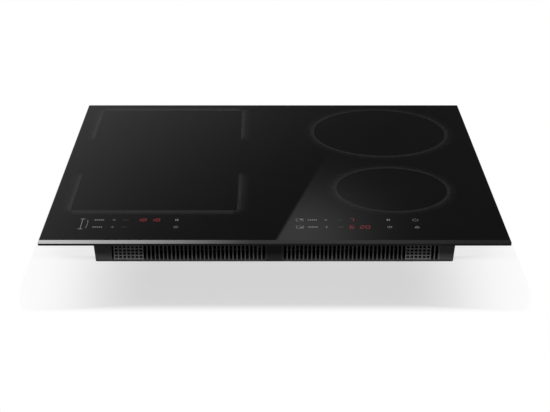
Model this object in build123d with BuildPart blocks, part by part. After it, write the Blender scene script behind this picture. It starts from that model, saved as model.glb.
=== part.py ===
from build123d import *
from math import cos, radians, sin, tan
from typing import NamedTuple
import os

import numpy

# Built-in induction cooktop: a black glass plate bonded to a sheet tray that carries four coils, over a
# drafted casing with the power boards, two radial fans and the terminal box.
# Millimetres, +Z up, front towards -Y. The origin lies on the floor under the middle of the glass.

# Glass plate
GLASS_WIDTH = 590.0
GLASS_DEPTH = 520.0
GLASS_THICKNESS = 4.0
GLASS_CORNER = 2.0
BEVEL_RUN = 8.0
BEVEL_DROP = 1.2
GLASS_ARRIS = 0.4

# Seat on the worktop and bond to the tray
WORKTOP_OVERLAP = 15.0
CUTOUT_CLEARANCE = 4.0
SEAL_WIDTH = 10.0
SEAL_THICKNESS = 2.0
ADHESIVE_WIDTH = 6.0
ADHESIVE_THICKNESS = 0.8

# Coil tray
TRAY_DEPTH = 12.2
TRAY_SHEET = 1.0
TRAY_FLANGE = 10.0
TRAY_CORNER = 8.0
TRAY_WINDOW_LENGTH = 120.0
TRAY_WINDOW_SPACING = 160.0
TRAY_WINDOW_MARGIN = 14.0

# Casing
CASING_HEIGHT = 33.0
CASING_INSET_SIDE = 32.6
CASING_INSET_FRONT = 19.0
CASING_DRAFT = 4.0
CASING_WALL = 2.2
CASING_FLOOR = 1.8
CASING_CORNER = 2.5
CASING_INNER_CORNER = 1.0
CASING_FLANGE = 9.0
CASING_FLANGE_THICKNESS = 2.5
CASING_SCREW_SPACING_X = 120.0
CASING_SCREW_SPACING_Y = 200.0

# Screws and their seats
SCREW_DIAMETER = 3.2
SCREW_HEAD_DIAMETER = 6.6
SCREW_HEAD_HEIGHT = 2.0
SCREW_TIP = 1.6
SCREW_CLEARANCE = 0.1
BOARD_SCREW_DIAMETER = 2.4
BOARD_SCREW_HEAD_DIAMETER = 5.0
BOARD_SCREW_HEAD_HEIGHT = 1.6
BOARD_SCREW_LENGTH = 5.0
BOSS_DIAMETER = 7.0
BOSS_HEIGHT = 4.0

# Clamp holes in the sides of the casing
CLAMP_HOLE_DIAMETER = 3.4
CLAMP_BOSS_DIAMETER = 10.0
CLAMP_BOSS_LENGTH = 6.0
CLAMP_SPACING = 260.0
CLAMP_HEIGHT = 16.0

# Front vents
VENT_PITCH = 5.275
VENT_RIB = 1.6
VENT_END_WALL = {"left": 19.0, "right": 14.0}
VENT_CENTRE_BLOCK = 18.0
VENT_INNER_BAR = 3.0
VENT_END_SLOT = {"left": 2.6}
VENT_END_BAR = 1.0
VENT_SILL = 0.4
VENT_HEAD = 1.2
VENT_LIP = 2.0
VENT_LIP_THICKNESS = 1.0
VENT_CLEARANCE = 0.15
GRID_COLUMNS = {"left": 7, "right": 6}
GRID_PLAIN_SLOTS = {"left": 0, "right": 2}
GRID_PITCH = 4.9
GRID_BAR = 1.6
GRID_FOOT_HOLE = 0.8

# Zones marked on the glass, and the coils under them
ZONE_REAR_MARGIN = 25.0
CONTROL_STRIP = 96.5
FLEX_SIDE_MARGIN = 25.0
FLEX_WIDTH = 224.0
ROUND_ZONE_SIDE_MARGIN = 135.0
LARGE_ZONE_DIAMETER = 202.4
SMALL_ZONE_DIAMETER = 154.8
LARGE_COIL_INSET = 8.2
SMALL_COIL_INSET = 6.4
FLEX_COIL_INSET = 9.0
FLEX_COIL_GAP = 19.5
FLEX_COIL_CORNER = 72.0
LARGE_COIL_TURNS = 17
SMALL_COIL_TURNS = 12
FLEX_COIL_TURNS = 14
WIRE_DIAMETER = 2.6
WIRE_PITCH = 3.2
WIRE_CLEARANCE = 0.1
SHEET_THICKNESS = 0.5
FORMER_THICKNESS = 4.6
FORMER_RIM = 2.0
FORMER_RIM_CLEARANCE = 0.6
FERRITE_WIDTH = 11.0
FERRITE_THICKNESS = 3.0
FERRITE_CLEARANCE = 0.2
FERRITE_INNER_RADIUS = 20.0
FERRITE_EDGE = 8.0
PEG_DIAMETER = 4.0
PEG_TIP = 0.8
SENSOR_DIAMETER = 10.0
SENSOR_FOOT_DIAMETER = 15.0
SENSOR_FOOT_HEIGHT = 1.5
SENSOR_CLEARANCE = 0.2
PLATE_THICKNESS = 1.2
PLATE_MARGIN = 1.5
PLATE_CORNER = 12.0
BUFFER_DIAMETER = 10.0
BUFFER_INSET = 20.0

# Touch controls
TOUCH_SETBACK = 58.5
TOUCH_BOARD_DEPTH = 46.0
TOUCH_BOARD_WIDTH = {"left": 146.0, "right": 172.0}
TOUCH_SIDE_OFFSET = {"left": 109.0, "right": 189.0}
BOARD_THICKNESS = 1.6
DISPLAY_HEIGHT = 6.5
DISPLAY_WIDTH = 32.0
DISPLAY_DEPTH = 12.0
DISPLAY_OFFSET = {"left": 25.0, "right": 4.0}
DISPLAY_ROWS = {"left": (1,), "right": (1, -1)}
PAD_DIAMETER = 9.0
PAD_ROW_SPACING = 22.2
PAD_OFFSETS = {"left": (-60.0, -39.5, -21.0, -6.0, 60.0), "right": (-73.5, -56.5, -39.5, -21.5, 41.0, 76.0)}
CARRIER_WALL = 1.5
CARRIER_CLEARANCE = 0.3
CARRIER_LEDGE = 4.0
CARRIER_RIM = 1.5
CARRIER_FOOT_DIAMETER = 7.0
CARRIER_FOOT_HEIGHT = 2.2
CARRIER_FOOT_INSET = 6.0
CARRIER_BRIDGE = 24.0
RIBBON_WIDTH = 14.0
RIBBON_THICKNESS = 1.2
RIBBON_BEND = 6.0
RIBBON_SLOT_CLEARANCE = 2.0
RIBBON_HEADER_LENGTH = 8.0
RIBBON_HEADER_HEIGHT = 8.0
RIBBON_HEADER_WALL = 2.0
RIBBON_LANDING = 10.0

# Power and filter boards
BOARD_WALL_GAP = 9.0
BOARD_CENTRE_GAP = 14.0
BOARD_FRONT_GAP = 22.0
BOARD_FAN_GAP = 4.0
BOARD_HOLE_INSET = 6.0
SINK_WIDTH = 60.0
SINK_LENGTH = 138.0
SINK_TOP_GAP = 4.6
SINK_BASE = 3.5
SINK_FINS = 9
SINK_FIN = 1.6
SINK_DEVICE_PLATE = 4.0
SINK_REAR_GAP = 3.0
TRANSISTOR_COUNT = 4
TRANSISTOR_SPACING = 32.0
TRANSISTOR_WIDTH = 15.6
TRANSISTOR_THICKNESS = 5.0
TRANSISTOR_HEIGHT = 17.0
TRANSISTOR_LIFT = 3.0
TRANSISTOR_LEG = 1.2
TRANSISTOR_LEG_SPACING = 5.4
CAPACITOR_LENGTH = 30.0
CAPACITOR_WIDTH = 20.0
CAPACITOR_HEIGHT = 19.0
CAPACITOR_SPACING_X = 36.0
CAPACITOR_SPACING_Y = 28.0
CAPACITOR_SETBACK = 68.0
CHOKE_DIAMETER = 40.0
CHOKE_BORE = 18.0
CHOKE_HEIGHT = 16.0
CHOKE_ROUNDING = 4.0
CHOKE_SETBACK = 145.0
FILTER_SIDE_GAP = 4.0
FILTER_REAR_GAP = 8.0
FILTER_PART_GAP = 19.0
FILTER_CHOKE_DIAMETER = 34.0
FILTER_CHOKE_BORE = 14.0
FILTER_LANDING = 5.0
WIRE_LEAD_DIAMETER = 3.0
WIRE_LEAD_BEND = 6.0
WIRE_LEAD_RISE = 9.0
WIRE_LEAD_REACH = 9.0
WIRE_LEAD_INSET = 32.5
WIRE_LEAD_SPACING = 8.0

# Radial fans
FAN_SIDE_OFFSET = 82.0
FAN_REAR_OFFSET = 72.0
FAN_TOP_GAP = 3.2
SCROLL_RADIUS = 44.0
SCROLL_WALL = 1.6
SCROLL_MOUTH = 8.0
SCROLL_TONGUE = 9.0
EAR_DIAMETER = 10.0
EAR_REACH = 4.5
EAR_ANGLES = (180.0, 60.0, 120.0)
INTAKE_RADIUS = 35.0
GUARD_CLEARANCE = 0.15
GUARD_LIP = 3.0
GUARD_LIP_THICKNESS = 1.0
GUARD_RINGS = 4
GUARD_SLOT = 4.6
GUARD_SPOKE = 3.0
IMPELLER_GAP = 5.0
IMPELLER_LIFT = 3.4
IMPELLER_TOP_GAP = 4.0
IMPELLER_DISC = 1.2
BLADE_COUNT = 26
BLADE_LENGTH = 11.0
BLADE_THICKNESS = 1.0
BLADE_ANGLE = 35.0
SHROUD_WIDTH = 4.0
HUB_RADIUS = 18.5
HUB_WALL = 1.4
HUB_LIFT = 3.0
SHAFT_DIAMETER = 3.0
SHAFT_CLEARANCE = 0.03
SHAFT_END_GAP = 0.8
BUSH_DIAMETER = 7.0
BUSH_LENGTH = 12.0
BEARING_POST_DIAMETER = 10.4
STATOR_DIAMETER = 29.0
STATOR_HEIGHT = 7.0
STATOR_POLES = 6
STATOR_SLOT_WIDTH = 3.0
STATOR_SLOT_DEPTH = 5.5
STATOR_CLEARANCE = 0.05

# Terminal box at the rear
TERMINAL_WIDTH = 90.0
TERMINAL_TOP_GAP = 4.5
TERMINAL_DEPTH = 36.0
TERMINAL_LIFT = 5.0
TERMINAL_WALL = 1.6
TERMINAL_CLEARANCE = 0.15
TERMINAL_FLANGE = 3.5
TERMINAL_FLANGE_THICKNESS = 2.0
GLAND_PANEL_WIDTH = 31.0
GLAND_PANEL_THICKNESS = 4.0
GLAND_BORE_DIAMETER = 11.0
GLAND_STEM_DIAMETER = 15.6
GLAND_STEM_LENGTH = 9.0
GLAND_CLEARANCE = 0.1
GLAND_HEX = 20.0
GLAND_HEX_LENGTH = 6.0
GLAND_NECK_DIAMETER = 17.0
GLAND_NECK_LENGTH = 8.0
COVER_THICKNESS = 2.0
COVER_GAP = 0.3
COVER_RIM_WALL = 1.2
COVER_OVERLAP = 1.6
COVER_BARREL_DIAMETER = 3.8
COVER_PIN_DIAMETER = 2.4
COVER_PIN_LENGTH = 2.2
COVER_PIN_CLEARANCE = 0.05
COVER_EAR = 2.5
BLOCK_LENGTH = 46.0
BLOCK_DEPTH = 14.0
BLOCK_HEIGHT = 14.0
BLOCK_POLES = 5
BLOCK_POLE_PITCH = 8.8
BLOCK_ENTRY = 5.0
BLOCK_ENTRY_DEPTH = 10.0
BLOCK_OFFSET = -14.0
CLAMP_SCREW_DIAMETER = 3.6
CLAMP_SCREW_DEPTH = 4.0
MAINS_WIRES = 3
MAINS_WIRE_PITCH = 13.0
MAINS_WIRE_LIFT = 13.0
MAINS_HOLE_CLEARANCE = 0.4

SIDES = {"left": -1, "right": 1}

# Levels
floor_top = CASING_FLOOR
tray_bottom = CASING_HEIGHT
tray_floor = tray_bottom + TRAY_SHEET
flange_top = tray_bottom + TRAY_DEPTH
glass_bottom = flange_top + ADHESIVE_THICKNESS
glass_surface = glass_bottom + GLASS_THICKNESS
sheet_bottom = glass_bottom - SHEET_THICKNESS
winding_level = sheet_bottom - WIRE_CLEARANCE - WIRE_DIAMETER / 2
former_top = sheet_bottom - 2 * WIRE_CLEARANCE - WIRE_DIAMETER
plate_top = former_top - FORMER_THICKNESS
plate_bottom = plate_top - PLATE_THICKNESS
board_bottom = floor_top + BOSS_HEIGHT
board_top = board_bottom + BOARD_THICKNESS
touch_board_top = glass_bottom - DISPLAY_HEIGHT
touch_board_bottom = touch_board_top - BOARD_THICKNESS
fan_top = tray_bottom - FAN_TOP_GAP
sink_height = tray_bottom - SINK_TOP_GAP - board_top
impeller_bottom = floor_top + IMPELLER_LIFT
impeller_top = fan_top - SCROLL_WALL - IMPELLER_TOP_GAP
hub_bottom = impeller_bottom + HUB_LIFT

# Plan sizes from the glass inwards
glass_front = -GLASS_DEPTH / 2
glass_rear = GLASS_DEPTH / 2
cutout_width = GLASS_WIDTH - 2 * WORKTOP_OVERLAP
cutout_depth = GLASS_DEPTH - 2 * WORKTOP_OVERLAP
tray_width = cutout_width - 2 * CUTOUT_CLEARANCE
tray_depth = cutout_depth - 2 * CUTOUT_CLEARANCE
tray_wall_width = tray_width - 2 * TRAY_FLANGE
tray_wall_depth = tray_depth - 2 * TRAY_FLANGE
casing_width = tray_wall_width - 2 * CASING_INSET_SIDE
casing_depth = tray_wall_depth - 2 * CASING_INSET_FRONT
casing_rear = casing_depth / 2


def casing_outline(height, wall):
    """Width, depth and middle of the casing at a height, drawn in by a wall. The rear wall is upright."""
    draw_in = (CASING_HEIGHT - height) * tan(radians(CASING_DRAFT))
    width = casing_width - 2 * draw_in - 2 * wall
    depth = casing_depth - draw_in - 2 * wall
    return width, depth, draw_in / 2


casing_foot_width, casing_foot_depth, casing_foot_middle = casing_outline(0, 0)
casing_foot_front = casing_foot_middle - casing_foot_depth / 2
casing_inner_half = casing_outline(floor_top, CASING_WALL)[0] / 2
front_wall = Plane(
    origin=(0, casing_foot_front, 0),
    x_dir=(1, 0, 0),
    z_dir=(0, -cos(radians(CASING_DRAFT)), -sin(radians(CASING_DRAFT))),
)

# Fan, board and terminal places
fan_x = casing_width / 2 - FAN_SIDE_OFFSET
fan_y = casing_rear - FAN_REAR_OFFSET
scroll_front = fan_y - SCROLL_RADIUS - SCROLL_MOUTH
board_outer = casing_inner_half - BOARD_WALL_GAP
board_width = board_outer - BOARD_CENTRE_GAP
board_x = (board_outer + BOARD_CENTRE_GAP) / 2
board_rear = scroll_front - BOARD_FAN_GAP
board_front = casing_foot_front + BOARD_FRONT_GAP
board_depth = board_rear - board_front
board_y = (board_rear + board_front) / 2
sink_x = fan_x + (SCROLL_RADIUS - SCROLL_TONGUE) / 2
sink_y = board_rear - SINK_REAR_GAP - SINK_LENGTH / 2
device_face = sink_x - SINK_WIDTH / 2
parts_x = (device_face - TRANSISTOR_THICKNESS + BOARD_CENTRE_GAP) / 2
terminal_front = casing_rear - TERMINAL_DEPTH
terminal_top = tray_bottom - CASING_FLANGE_THICKNESS - TERMINAL_TOP_GAP
terminal_window = terminal_top - TERMINAL_LIFT
terminal_middle = TERMINAL_LIFT + terminal_window / 2
filter_width = 2 * (fan_x - SCROLL_RADIUS - EAR_REACH - EAR_DIAMETER / 2 - FILTER_SIDE_GAP)
filter_rear = terminal_front - FILTER_REAR_GAP
filter_depth = filter_rear - scroll_front
filter_y = (filter_rear + scroll_front) / 2
filter_capacitor_x = FILTER_CHOKE_DIAMETER / 2 + FILTER_PART_GAP + CAPACITOR_WIDTH / 2
wire_lead_x = filter_width / 2 - WIRE_LEAD_INSET
touch_x = {side: sign * (GLASS_WIDTH / 2 - TOUCH_SIDE_OFFSET[side]) for side, sign in SIDES.items()}
touch_y = glass_front + TOUCH_SETBACK
ribbon_landing_y = board_front + RIBBON_LANDING


def save(piece, name):
    """Name a finished piece and write it."""
    piece.part.label = name
    export_step(piece.part, f"parts/{name}.step")


os.makedirs("parts", exist_ok=True)

# Glass plate with a long bevel along the front and a small arris on the other three edges
with BuildPart() as glass_top:
    with BuildSketch(Plane.XY.offset(glass_bottom)):
        RectangleRounded(GLASS_WIDTH, GLASS_DEPTH, GLASS_CORNER)
    extrude(amount=GLASS_THICKNESS)
    with BuildSketch(Plane.YZ):
        with BuildLine():
            Polyline(
                (glass_front - BEVEL_RUN, glass_surface - 2 * BEVEL_DROP),
                (glass_front + 2 * BEVEL_RUN, glass_surface + BEVEL_DROP),
                (glass_front - BEVEL_RUN, glass_surface + BEVEL_DROP),
                close=True,
            )
        make_face()
    extrude(amount=GLASS_WIDTH, both=True, mode=Mode.SUBTRACT)
    chamfer(glass_top.edges().group_by(Axis.Z)[-1].sort_by(Axis.Y)[1:], length=GLASS_ARRIS)
save(glass_top, "glass_top")

# Foam seal around the cut-out
with BuildPart() as worktop_seal:
    with BuildSketch(Plane.XY.offset(glass_bottom - SEAL_THICKNESS)):
        Rectangle(cutout_width + 2 * SEAL_WIDTH, cutout_depth + 2 * SEAL_WIDTH)
        Rectangle(cutout_width, cutout_depth, mode=Mode.SUBTRACT)
    extrude(amount=SEAL_THICKNESS)
save(worktop_seal, "worktop_seal")

# Adhesive bead between the tray flange and the glass
with BuildPart() as glass_adhesive:
    bead_width = tray_width - TRAY_FLANGE
    bead_depth = tray_depth - TRAY_FLANGE
    bead_corner = TRAY_CORNER + TRAY_FLANGE / 2
    with BuildSketch(Plane.XY.offset(flange_top)):
        RectangleRounded(
            bead_width + ADHESIVE_WIDTH, bead_depth + ADHESIVE_WIDTH, bead_corner + ADHESIVE_WIDTH / 2
        )
        RectangleRounded(
            bead_width - ADHESIVE_WIDTH,
            bead_depth - ADHESIVE_WIDTH,
            bead_corner - ADHESIVE_WIDTH / 2,
            mode=Mode.SUBTRACT,
        )
    extrude(amount=ADHESIVE_THICKNESS)
save(glass_adhesive, "glass_adhesive")


class Coil(NamedTuple):
    """Middle of a coil, its straight runs, the outer corner radius of its former, turns and ferrite bars."""

    x: float
    y: float
    run_x: float
    run_y: float
    radius: float
    turns: int
    bars: int

    @property
    def winding_end(self):
        """Radius of the wire's middle in the last turn."""
        return self.radius - FORMER_RIM - FORMER_RIM_CLEARANCE - WIRE_DIAMETER / 2

    @property
    def winding_start(self):
        """Radius of the wire's middle in the first turn."""
        return self.winding_end - self.turns * WIRE_PITCH

    @property
    def hub_radius(self):
        """Corner radius of the wall inside the winding."""
        return self.winding_start - WIRE_DIAMETER / 2 - FORMER_RIM_CLEARANCE

    @property
    def bar_length(self):
        """Length of the ferrite bars."""
        return self.radius + min(self.run_x, self.run_y) / 2 - FERRITE_EDGE - FERRITE_INNER_RADIUS

    @property
    def bar_radius(self):
        """Distance from the coil's middle to the middle of a ferrite bar."""
        return FERRITE_INNER_RADIUS + self.bar_length / 2


zone_front = glass_front + CONTROL_STRIP
zone_rear = glass_rear - ZONE_REAR_MARGIN
flex_x = -GLASS_WIDTH / 2 + FLEX_SIDE_MARGIN + FLEX_WIDTH / 2
flex_span = (zone_rear - zone_front) / 2
flex_coil_depth = flex_span - FLEX_COIL_GAP
flex_run_x = FLEX_WIDTH - 2 * FLEX_COIL_INSET - 2 * FLEX_COIL_CORNER
flex_run_y = flex_coil_depth - 2 * FLEX_COIL_CORNER
round_x = GLASS_WIDTH / 2 - ROUND_ZONE_SIDE_MARGIN
large_y = zone_rear - LARGE_ZONE_DIAMETER / 2
small_y = zone_front + SMALL_ZONE_DIAMETER / 2
flex_rear_y = zone_rear - flex_span / 2
flex_front_y = zone_front + flex_span / 2

COILS = {
    "flex_rear": Coil(flex_x, flex_rear_y, flex_run_x, flex_run_y, FLEX_COIL_CORNER, FLEX_COIL_TURNS, 8),
    "flex_front": Coil(flex_x, flex_front_y, flex_run_x, flex_run_y, FLEX_COIL_CORNER, FLEX_COIL_TURNS, 8),
    "large": Coil(round_x, large_y, 0, 0, LARGE_ZONE_DIAMETER / 2 - LARGE_COIL_INSET, LARGE_COIL_TURNS, 8),
    "small": Coil(round_x, small_y, 0, 0, SMALL_ZONE_DIAMETER / 2 - SMALL_COIL_INSET, SMALL_COIL_TURNS, 6),
}
PLATE_COILS = {"left": ("flex_front", "flex_rear"), "right": ("small", "large")}


def coil_outline(coil, radius, mode=Mode.ADD):
    """Outline of a coil at a corner radius: a circle, or a rounded rectangle around its straight runs."""
    if coil.run_x > 0:
        RectangleRounded(coil.run_x + 2 * radius, coil.run_y + 2 * radius, radius, mode=mode)
    else:
        Circle(radius, mode=mode)


def plate_box(side):
    """Left, right, front and rear of a coil plate, around the formers that it carries."""
    coils = [COILS[name] for name in PLATE_COILS[side]]
    half_widths = [coil.radius + coil.run_x / 2 + PLATE_MARGIN for coil in coils]
    half_depths = [coil.radius + coil.run_y / 2 + PLATE_MARGIN for coil in coils]
    left = min(coil.x - half for coil, half in zip(coils, half_widths))
    right = max(coil.x + half for coil, half in zip(coils, half_widths))
    front = min(coil.y - half for coil, half in zip(coils, half_depths))
    rear = max(coil.y + half for coil, half in zip(coils, half_depths))
    return left, right, front, rear


# Casing screws, shared by the flange of the casing and the floor of the tray
screw_row_x = casing_width + CASING_FLANGE
screw_row_y = casing_depth + CASING_FLANGE
casing_screw_places = GridLocations(CASING_SCREW_SPACING_X, screw_row_y, 4, 2).locations
casing_screw_places += GridLocations(screw_row_x, CASING_SCREW_SPACING_Y, 2, 2).locations

# Screw bosses on the casing floor, under the boards and the ears of the fan housings
ear_radius = SCROLL_RADIUS + EAR_REACH
boss_places = []
ear_places = {}
board_hole_places = {}
for side, sign in SIDES.items():
    corners = GridLocations(board_width - 2 * BOARD_HOLE_INSET, board_depth - 2 * BOARD_HOLE_INSET, 2, 2)
    board_hole_places[side] = [Location((sign * board_x, board_y)) * spot for spot in corners.locations]
    ear_places[side] = []
    for angle in EAR_ANGLES:
        ear_x = fan_x + ear_radius * cos(radians(angle))
        ear_y = fan_y + ear_radius * sin(radians(angle))
        ear_places[side].append(Location((sign * ear_x, ear_y)))
    boss_places += board_hole_places[side] + ear_places[side]
filter_corners = GridLocations(filter_width - 2 * BOARD_HOLE_INSET, filter_depth - 2 * BOARD_HOLE_INSET, 2, 2)
filter_hole_places = [Location((0, filter_y)) * spot for spot in filter_corners.locations]
boss_places += filter_hole_places

# Coil tray: a shallow pan with an outward flange, cable windows and screw holes
tray_gap_left = plate_box("left")[1]
tray_gap_right = plate_box("right")[0]
tray_window_width = tray_gap_right - tray_gap_left - 2 * TRAY_WINDOW_MARGIN
ribbon_slot_width = RIBBON_WIDTH + 2 * RIBBON_SLOT_CLEARANCE
ribbon_slot_depth = RIBBON_THICKNESS + 2 * RIBBON_SLOT_CLEARANCE
with BuildPart() as coil_tray:
    with BuildSketch(Plane.XY.offset(tray_bottom)):
        RectangleRounded(tray_wall_width, tray_wall_depth, TRAY_CORNER)
    extrude(amount=TRAY_DEPTH)
    with BuildSketch(Plane.XY.offset(flange_top - TRAY_SHEET)):
        RectangleRounded(tray_width, tray_depth, TRAY_CORNER + TRAY_FLANGE)
    extrude(amount=TRAY_SHEET)
    with BuildSketch(Plane.XY.offset(tray_floor)):
        RectangleRounded(
            tray_wall_width - 2 * TRAY_SHEET, tray_wall_depth - 2 * TRAY_SHEET, TRAY_CORNER - TRAY_SHEET
        )
    extrude(amount=TRAY_DEPTH, mode=Mode.SUBTRACT)
    with BuildSketch(Plane.XY.offset(tray_bottom)):
        with Locations(((tray_gap_left + tray_gap_right) / 2, 0)):
            with GridLocations(0, TRAY_WINDOW_SPACING, 1, 2):
                RectangleRounded(tray_window_width, TRAY_WINDOW_LENGTH, TRAY_CORNER)
        with Locations([(x, touch_y) for x in touch_x.values()]):
            Rectangle(ribbon_slot_width, ribbon_slot_depth)
        with Locations(casing_screw_places):
            Circle(SCREW_DIAMETER / 2 + SCREW_CLEARANCE)
    extrude(amount=TRAY_SHEET, mode=Mode.SUBTRACT)
save(coil_tray, "coil_tray")

# Sizes of the vent windows in the drafted front wall, measured along that wall
vent_slot_width = VENT_PITCH - VENT_RIB
vent_bottom = floor_top / cos(radians(CASING_DRAFT))
vent_top = (tray_bottom - CASING_FLANGE_THICKNESS) / cos(radians(CASING_DRAFT))
grid_rows = int((vent_top - VENT_HEAD - vent_bottom - VENT_SILL - GRID_FOOT_HOLE) / GRID_PITCH)
vent_slot_height = GRID_FOOT_HOLE + grid_rows * GRID_PITCH
vent_height = VENT_SILL + vent_slot_height + VENT_HEAD
vent_inner = VENT_CENTRE_BLOCK / 2
vent_first_slot = vent_inner + VENT_INNER_BAR
vent_end = {side: VENT_END_SLOT.get(side, 0) + VENT_END_BAR for side in SIDES}


def vent_slots(side):
    """Whole slots of a vent that leave at least the plain wall beside its outer end."""
    room = casing_foot_width / 2 - VENT_END_WALL[side] - vent_first_slot - vent_end[side]
    return int(room / VENT_PITCH)


def vent_outer(side):
    """Distance from the middle to the outer end of a vent window."""
    return vent_first_slot + vent_slots(side) * VENT_PITCH + vent_end[side]


def vent_rectangle(side, grow_side, grow_top, mode=Mode.ADD):
    """Window of a vent on the front wall, grown at its ends and its top."""
    width = vent_outer(side) - vent_inner + 2 * grow_side
    height = vent_height + grow_top
    with Locations((SIDES[side] * (vent_outer(side) + vent_inner) / 2, vent_bottom + height / 2)):
        Rectangle(width, height, mode=mode)


# Casing: drafted tub with a screw flange, vent windows, intake holes and bosses
with BuildPart() as lower_casing:
    for height in (0, CASING_HEIGHT):
        width, depth, middle = casing_outline(height, 0)
        with BuildSketch(Plane.XY.offset(height)):
            with Locations((0, middle)):
                RectangleRounded(width, depth, CASING_CORNER)
    loft(ruled=True)
    with BuildSketch(Plane.XY.offset(tray_bottom - CASING_FLANGE_THICKNESS)):
        RectangleRounded(
            casing_width + 2 * CASING_FLANGE, casing_depth + 2 * CASING_FLANGE, CASING_CORNER + CASING_FLANGE
        )
        with Locations(casing_screw_places):
            Circle(SCREW_DIAMETER / 2 + SCREW_CLEARANCE, mode=Mode.SUBTRACT)
    extrude(amount=CASING_FLANGE_THICKNESS)
    for height in (floor_top, CASING_HEIGHT):
        width, depth, middle = casing_outline(height, CASING_WALL)
        with BuildSketch(Plane.XY.offset(height)):
            with Locations((0, middle)):
                RectangleRounded(width, depth, CASING_INNER_CORNER)
    loft(ruled=True, mode=Mode.SUBTRACT)
    with BuildSketch(front_wall):
        for side in SIDES:
            vent_rectangle(side, 0, 0)
    extrude(amount=2 * CASING_WALL, both=True, mode=Mode.SUBTRACT)
    with BuildSketch(Plane.XZ.offset(-casing_rear)):
        with Locations((0, terminal_middle)):
            Rectangle(TERMINAL_WIDTH, terminal_window)
    extrude(amount=2 * CASING_WALL, both=True, mode=Mode.SUBTRACT)
    with BuildSketch():
        with Locations([(sign * fan_x, fan_y) for sign in SIDES.values()]):
            Circle(INTAKE_RADIUS)
    extrude(amount=floor_top, mode=Mode.SUBTRACT)
    with BuildSketch(Plane.XY.offset(floor_top)):
        with Locations(boss_places):
            Circle(BOSS_DIAMETER / 2)
            Circle(BOARD_SCREW_DIAMETER / 2 + SCREW_CLEARANCE, mode=Mode.SUBTRACT)
    extrude(amount=BOSS_HEIGHT)
    clamp_bottom = CLAMP_HEIGHT - CLAMP_BOSS_DIAMETER / 2
    clamp_inner = casing_outline(clamp_bottom, CASING_WALL)[0] / 2 - CLAMP_BOSS_LENGTH
    for sign in SIDES.values():
        with BuildSketch(Plane.YZ.offset(sign * clamp_inner)):
            with Locations((0, CLAMP_HEIGHT)):
                with GridLocations(CLAMP_SPACING, 0, 2, 1):
                    Circle(CLAMP_BOSS_DIAMETER / 2)
        extrude(amount=sign * (CLAMP_BOSS_LENGTH + CASING_WALL / 2))
        with BuildSketch(Plane.YZ.offset(sign * clamp_inner)):
            with Locations((0, CLAMP_HEIGHT)):
                with GridLocations(CLAMP_SPACING, 0, 2, 1):
                    Circle(CLAMP_HOLE_DIAMETER / 2)
        extrude(amount=sign * (CLAMP_BOSS_LENGTH + 2 * CASING_WALL), mode=Mode.SUBTRACT)
save(lower_casing, "lower_casing")

# Vent grilles: ribbed inserts flush with the drafted wall, each with a square grid near its outer end, whose
# lowest row of holes is cut short by the sill
for side, sign in SIDES.items():
    slots = vent_slots(side)
    grid_end = slots - GRID_PLAIN_SLOTS[side]
    grid_start = grid_end - GRID_COLUMNS[side]
    slot_bottom = vent_bottom + VENT_SILL
    slot_middle = slot_bottom + vent_slot_height / 2
    field_end = vent_outer(side) - VENT_END_BAR
    with BuildPart() as vent_grille:
        with BuildSketch(front_wall):
            vent_rectangle(side, -VENT_CLEARANCE, -VENT_CLEARANCE)
        extrude(amount=-CASING_WALL)
        with BuildSketch(front_wall.offset(-CASING_WALL)):
            vent_rectangle(side, VENT_LIP, VENT_LIP)
            with Locations((sign * (vent_first_slot + field_end) / 2, slot_middle)):
                Rectangle(field_end - vent_first_slot, vent_slot_height, mode=Mode.SUBTRACT)
        extrude(amount=-VENT_LIP_THICKNESS)
        with BuildSketch(front_wall):
            for slot in range(slots):
                slot_x = sign * (vent_first_slot + vent_slot_width / 2 + slot * VENT_PITCH)
                if grid_start <= slot < grid_end:
                    hole_height = GRID_PITCH - GRID_BAR
                    first_hole = slot_bottom + GRID_FOOT_HOLE + GRID_BAR + hole_height / 2
                    with Locations((slot_x, slot_bottom + GRID_FOOT_HOLE / 2)):
                        Rectangle(vent_slot_width, GRID_FOOT_HOLE)
                    for row in range(grid_rows):
                        with Locations((slot_x, first_hole + row * GRID_PITCH)):
                            Rectangle(vent_slot_width, hole_height)
                else:
                    with Locations((slot_x, slot_middle)):
                        Rectangle(vent_slot_width, vent_slot_height)
            if side in VENT_END_SLOT:
                with Locations((sign * (field_end - VENT_END_SLOT[side] / 2), slot_middle)):
                    Rectangle(VENT_END_SLOT[side], vent_slot_height)
        extrude(amount=-CASING_WALL, mode=Mode.SUBTRACT)
    save(vent_grille, f"vent_grille_{side}")

# Intake guards: ringed discs in the casing floor under the fans
for side, sign in SIDES.items():
    guard_radius = INTAKE_RADIUS - GUARD_CLEARANCE
    ring_pitch = guard_radius / (GUARD_RINGS + 1)
    with BuildPart() as intake_guard:
        with BuildSketch():
            with Locations((sign * fan_x, fan_y)):
                Circle(guard_radius)
                for ring in range(GUARD_RINGS, 0, -1):
                    Circle(ring * ring_pitch + GUARD_SLOT / 2, mode=Mode.SUBTRACT)
                    Circle(ring * ring_pitch - GUARD_SLOT / 2)
                Rectangle(2 * GUARD_RINGS * ring_pitch + GUARD_SLOT, GUARD_SPOKE)
                Rectangle(GUARD_SPOKE, 2 * GUARD_RINGS * ring_pitch + GUARD_SLOT)
        extrude(amount=floor_top)
        with BuildSketch(Plane.XY.offset(floor_top)):
            with Locations((sign * fan_x, fan_y)):
                Circle(INTAKE_RADIUS + GUARD_LIP)
                Circle(guard_radius - ring_pitch + GUARD_SLOT / 2, mode=Mode.SUBTRACT)
        extrude(amount=GUARD_LIP_THICKNESS)
    save(intake_guard, f"intake_guard_{side}")

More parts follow.
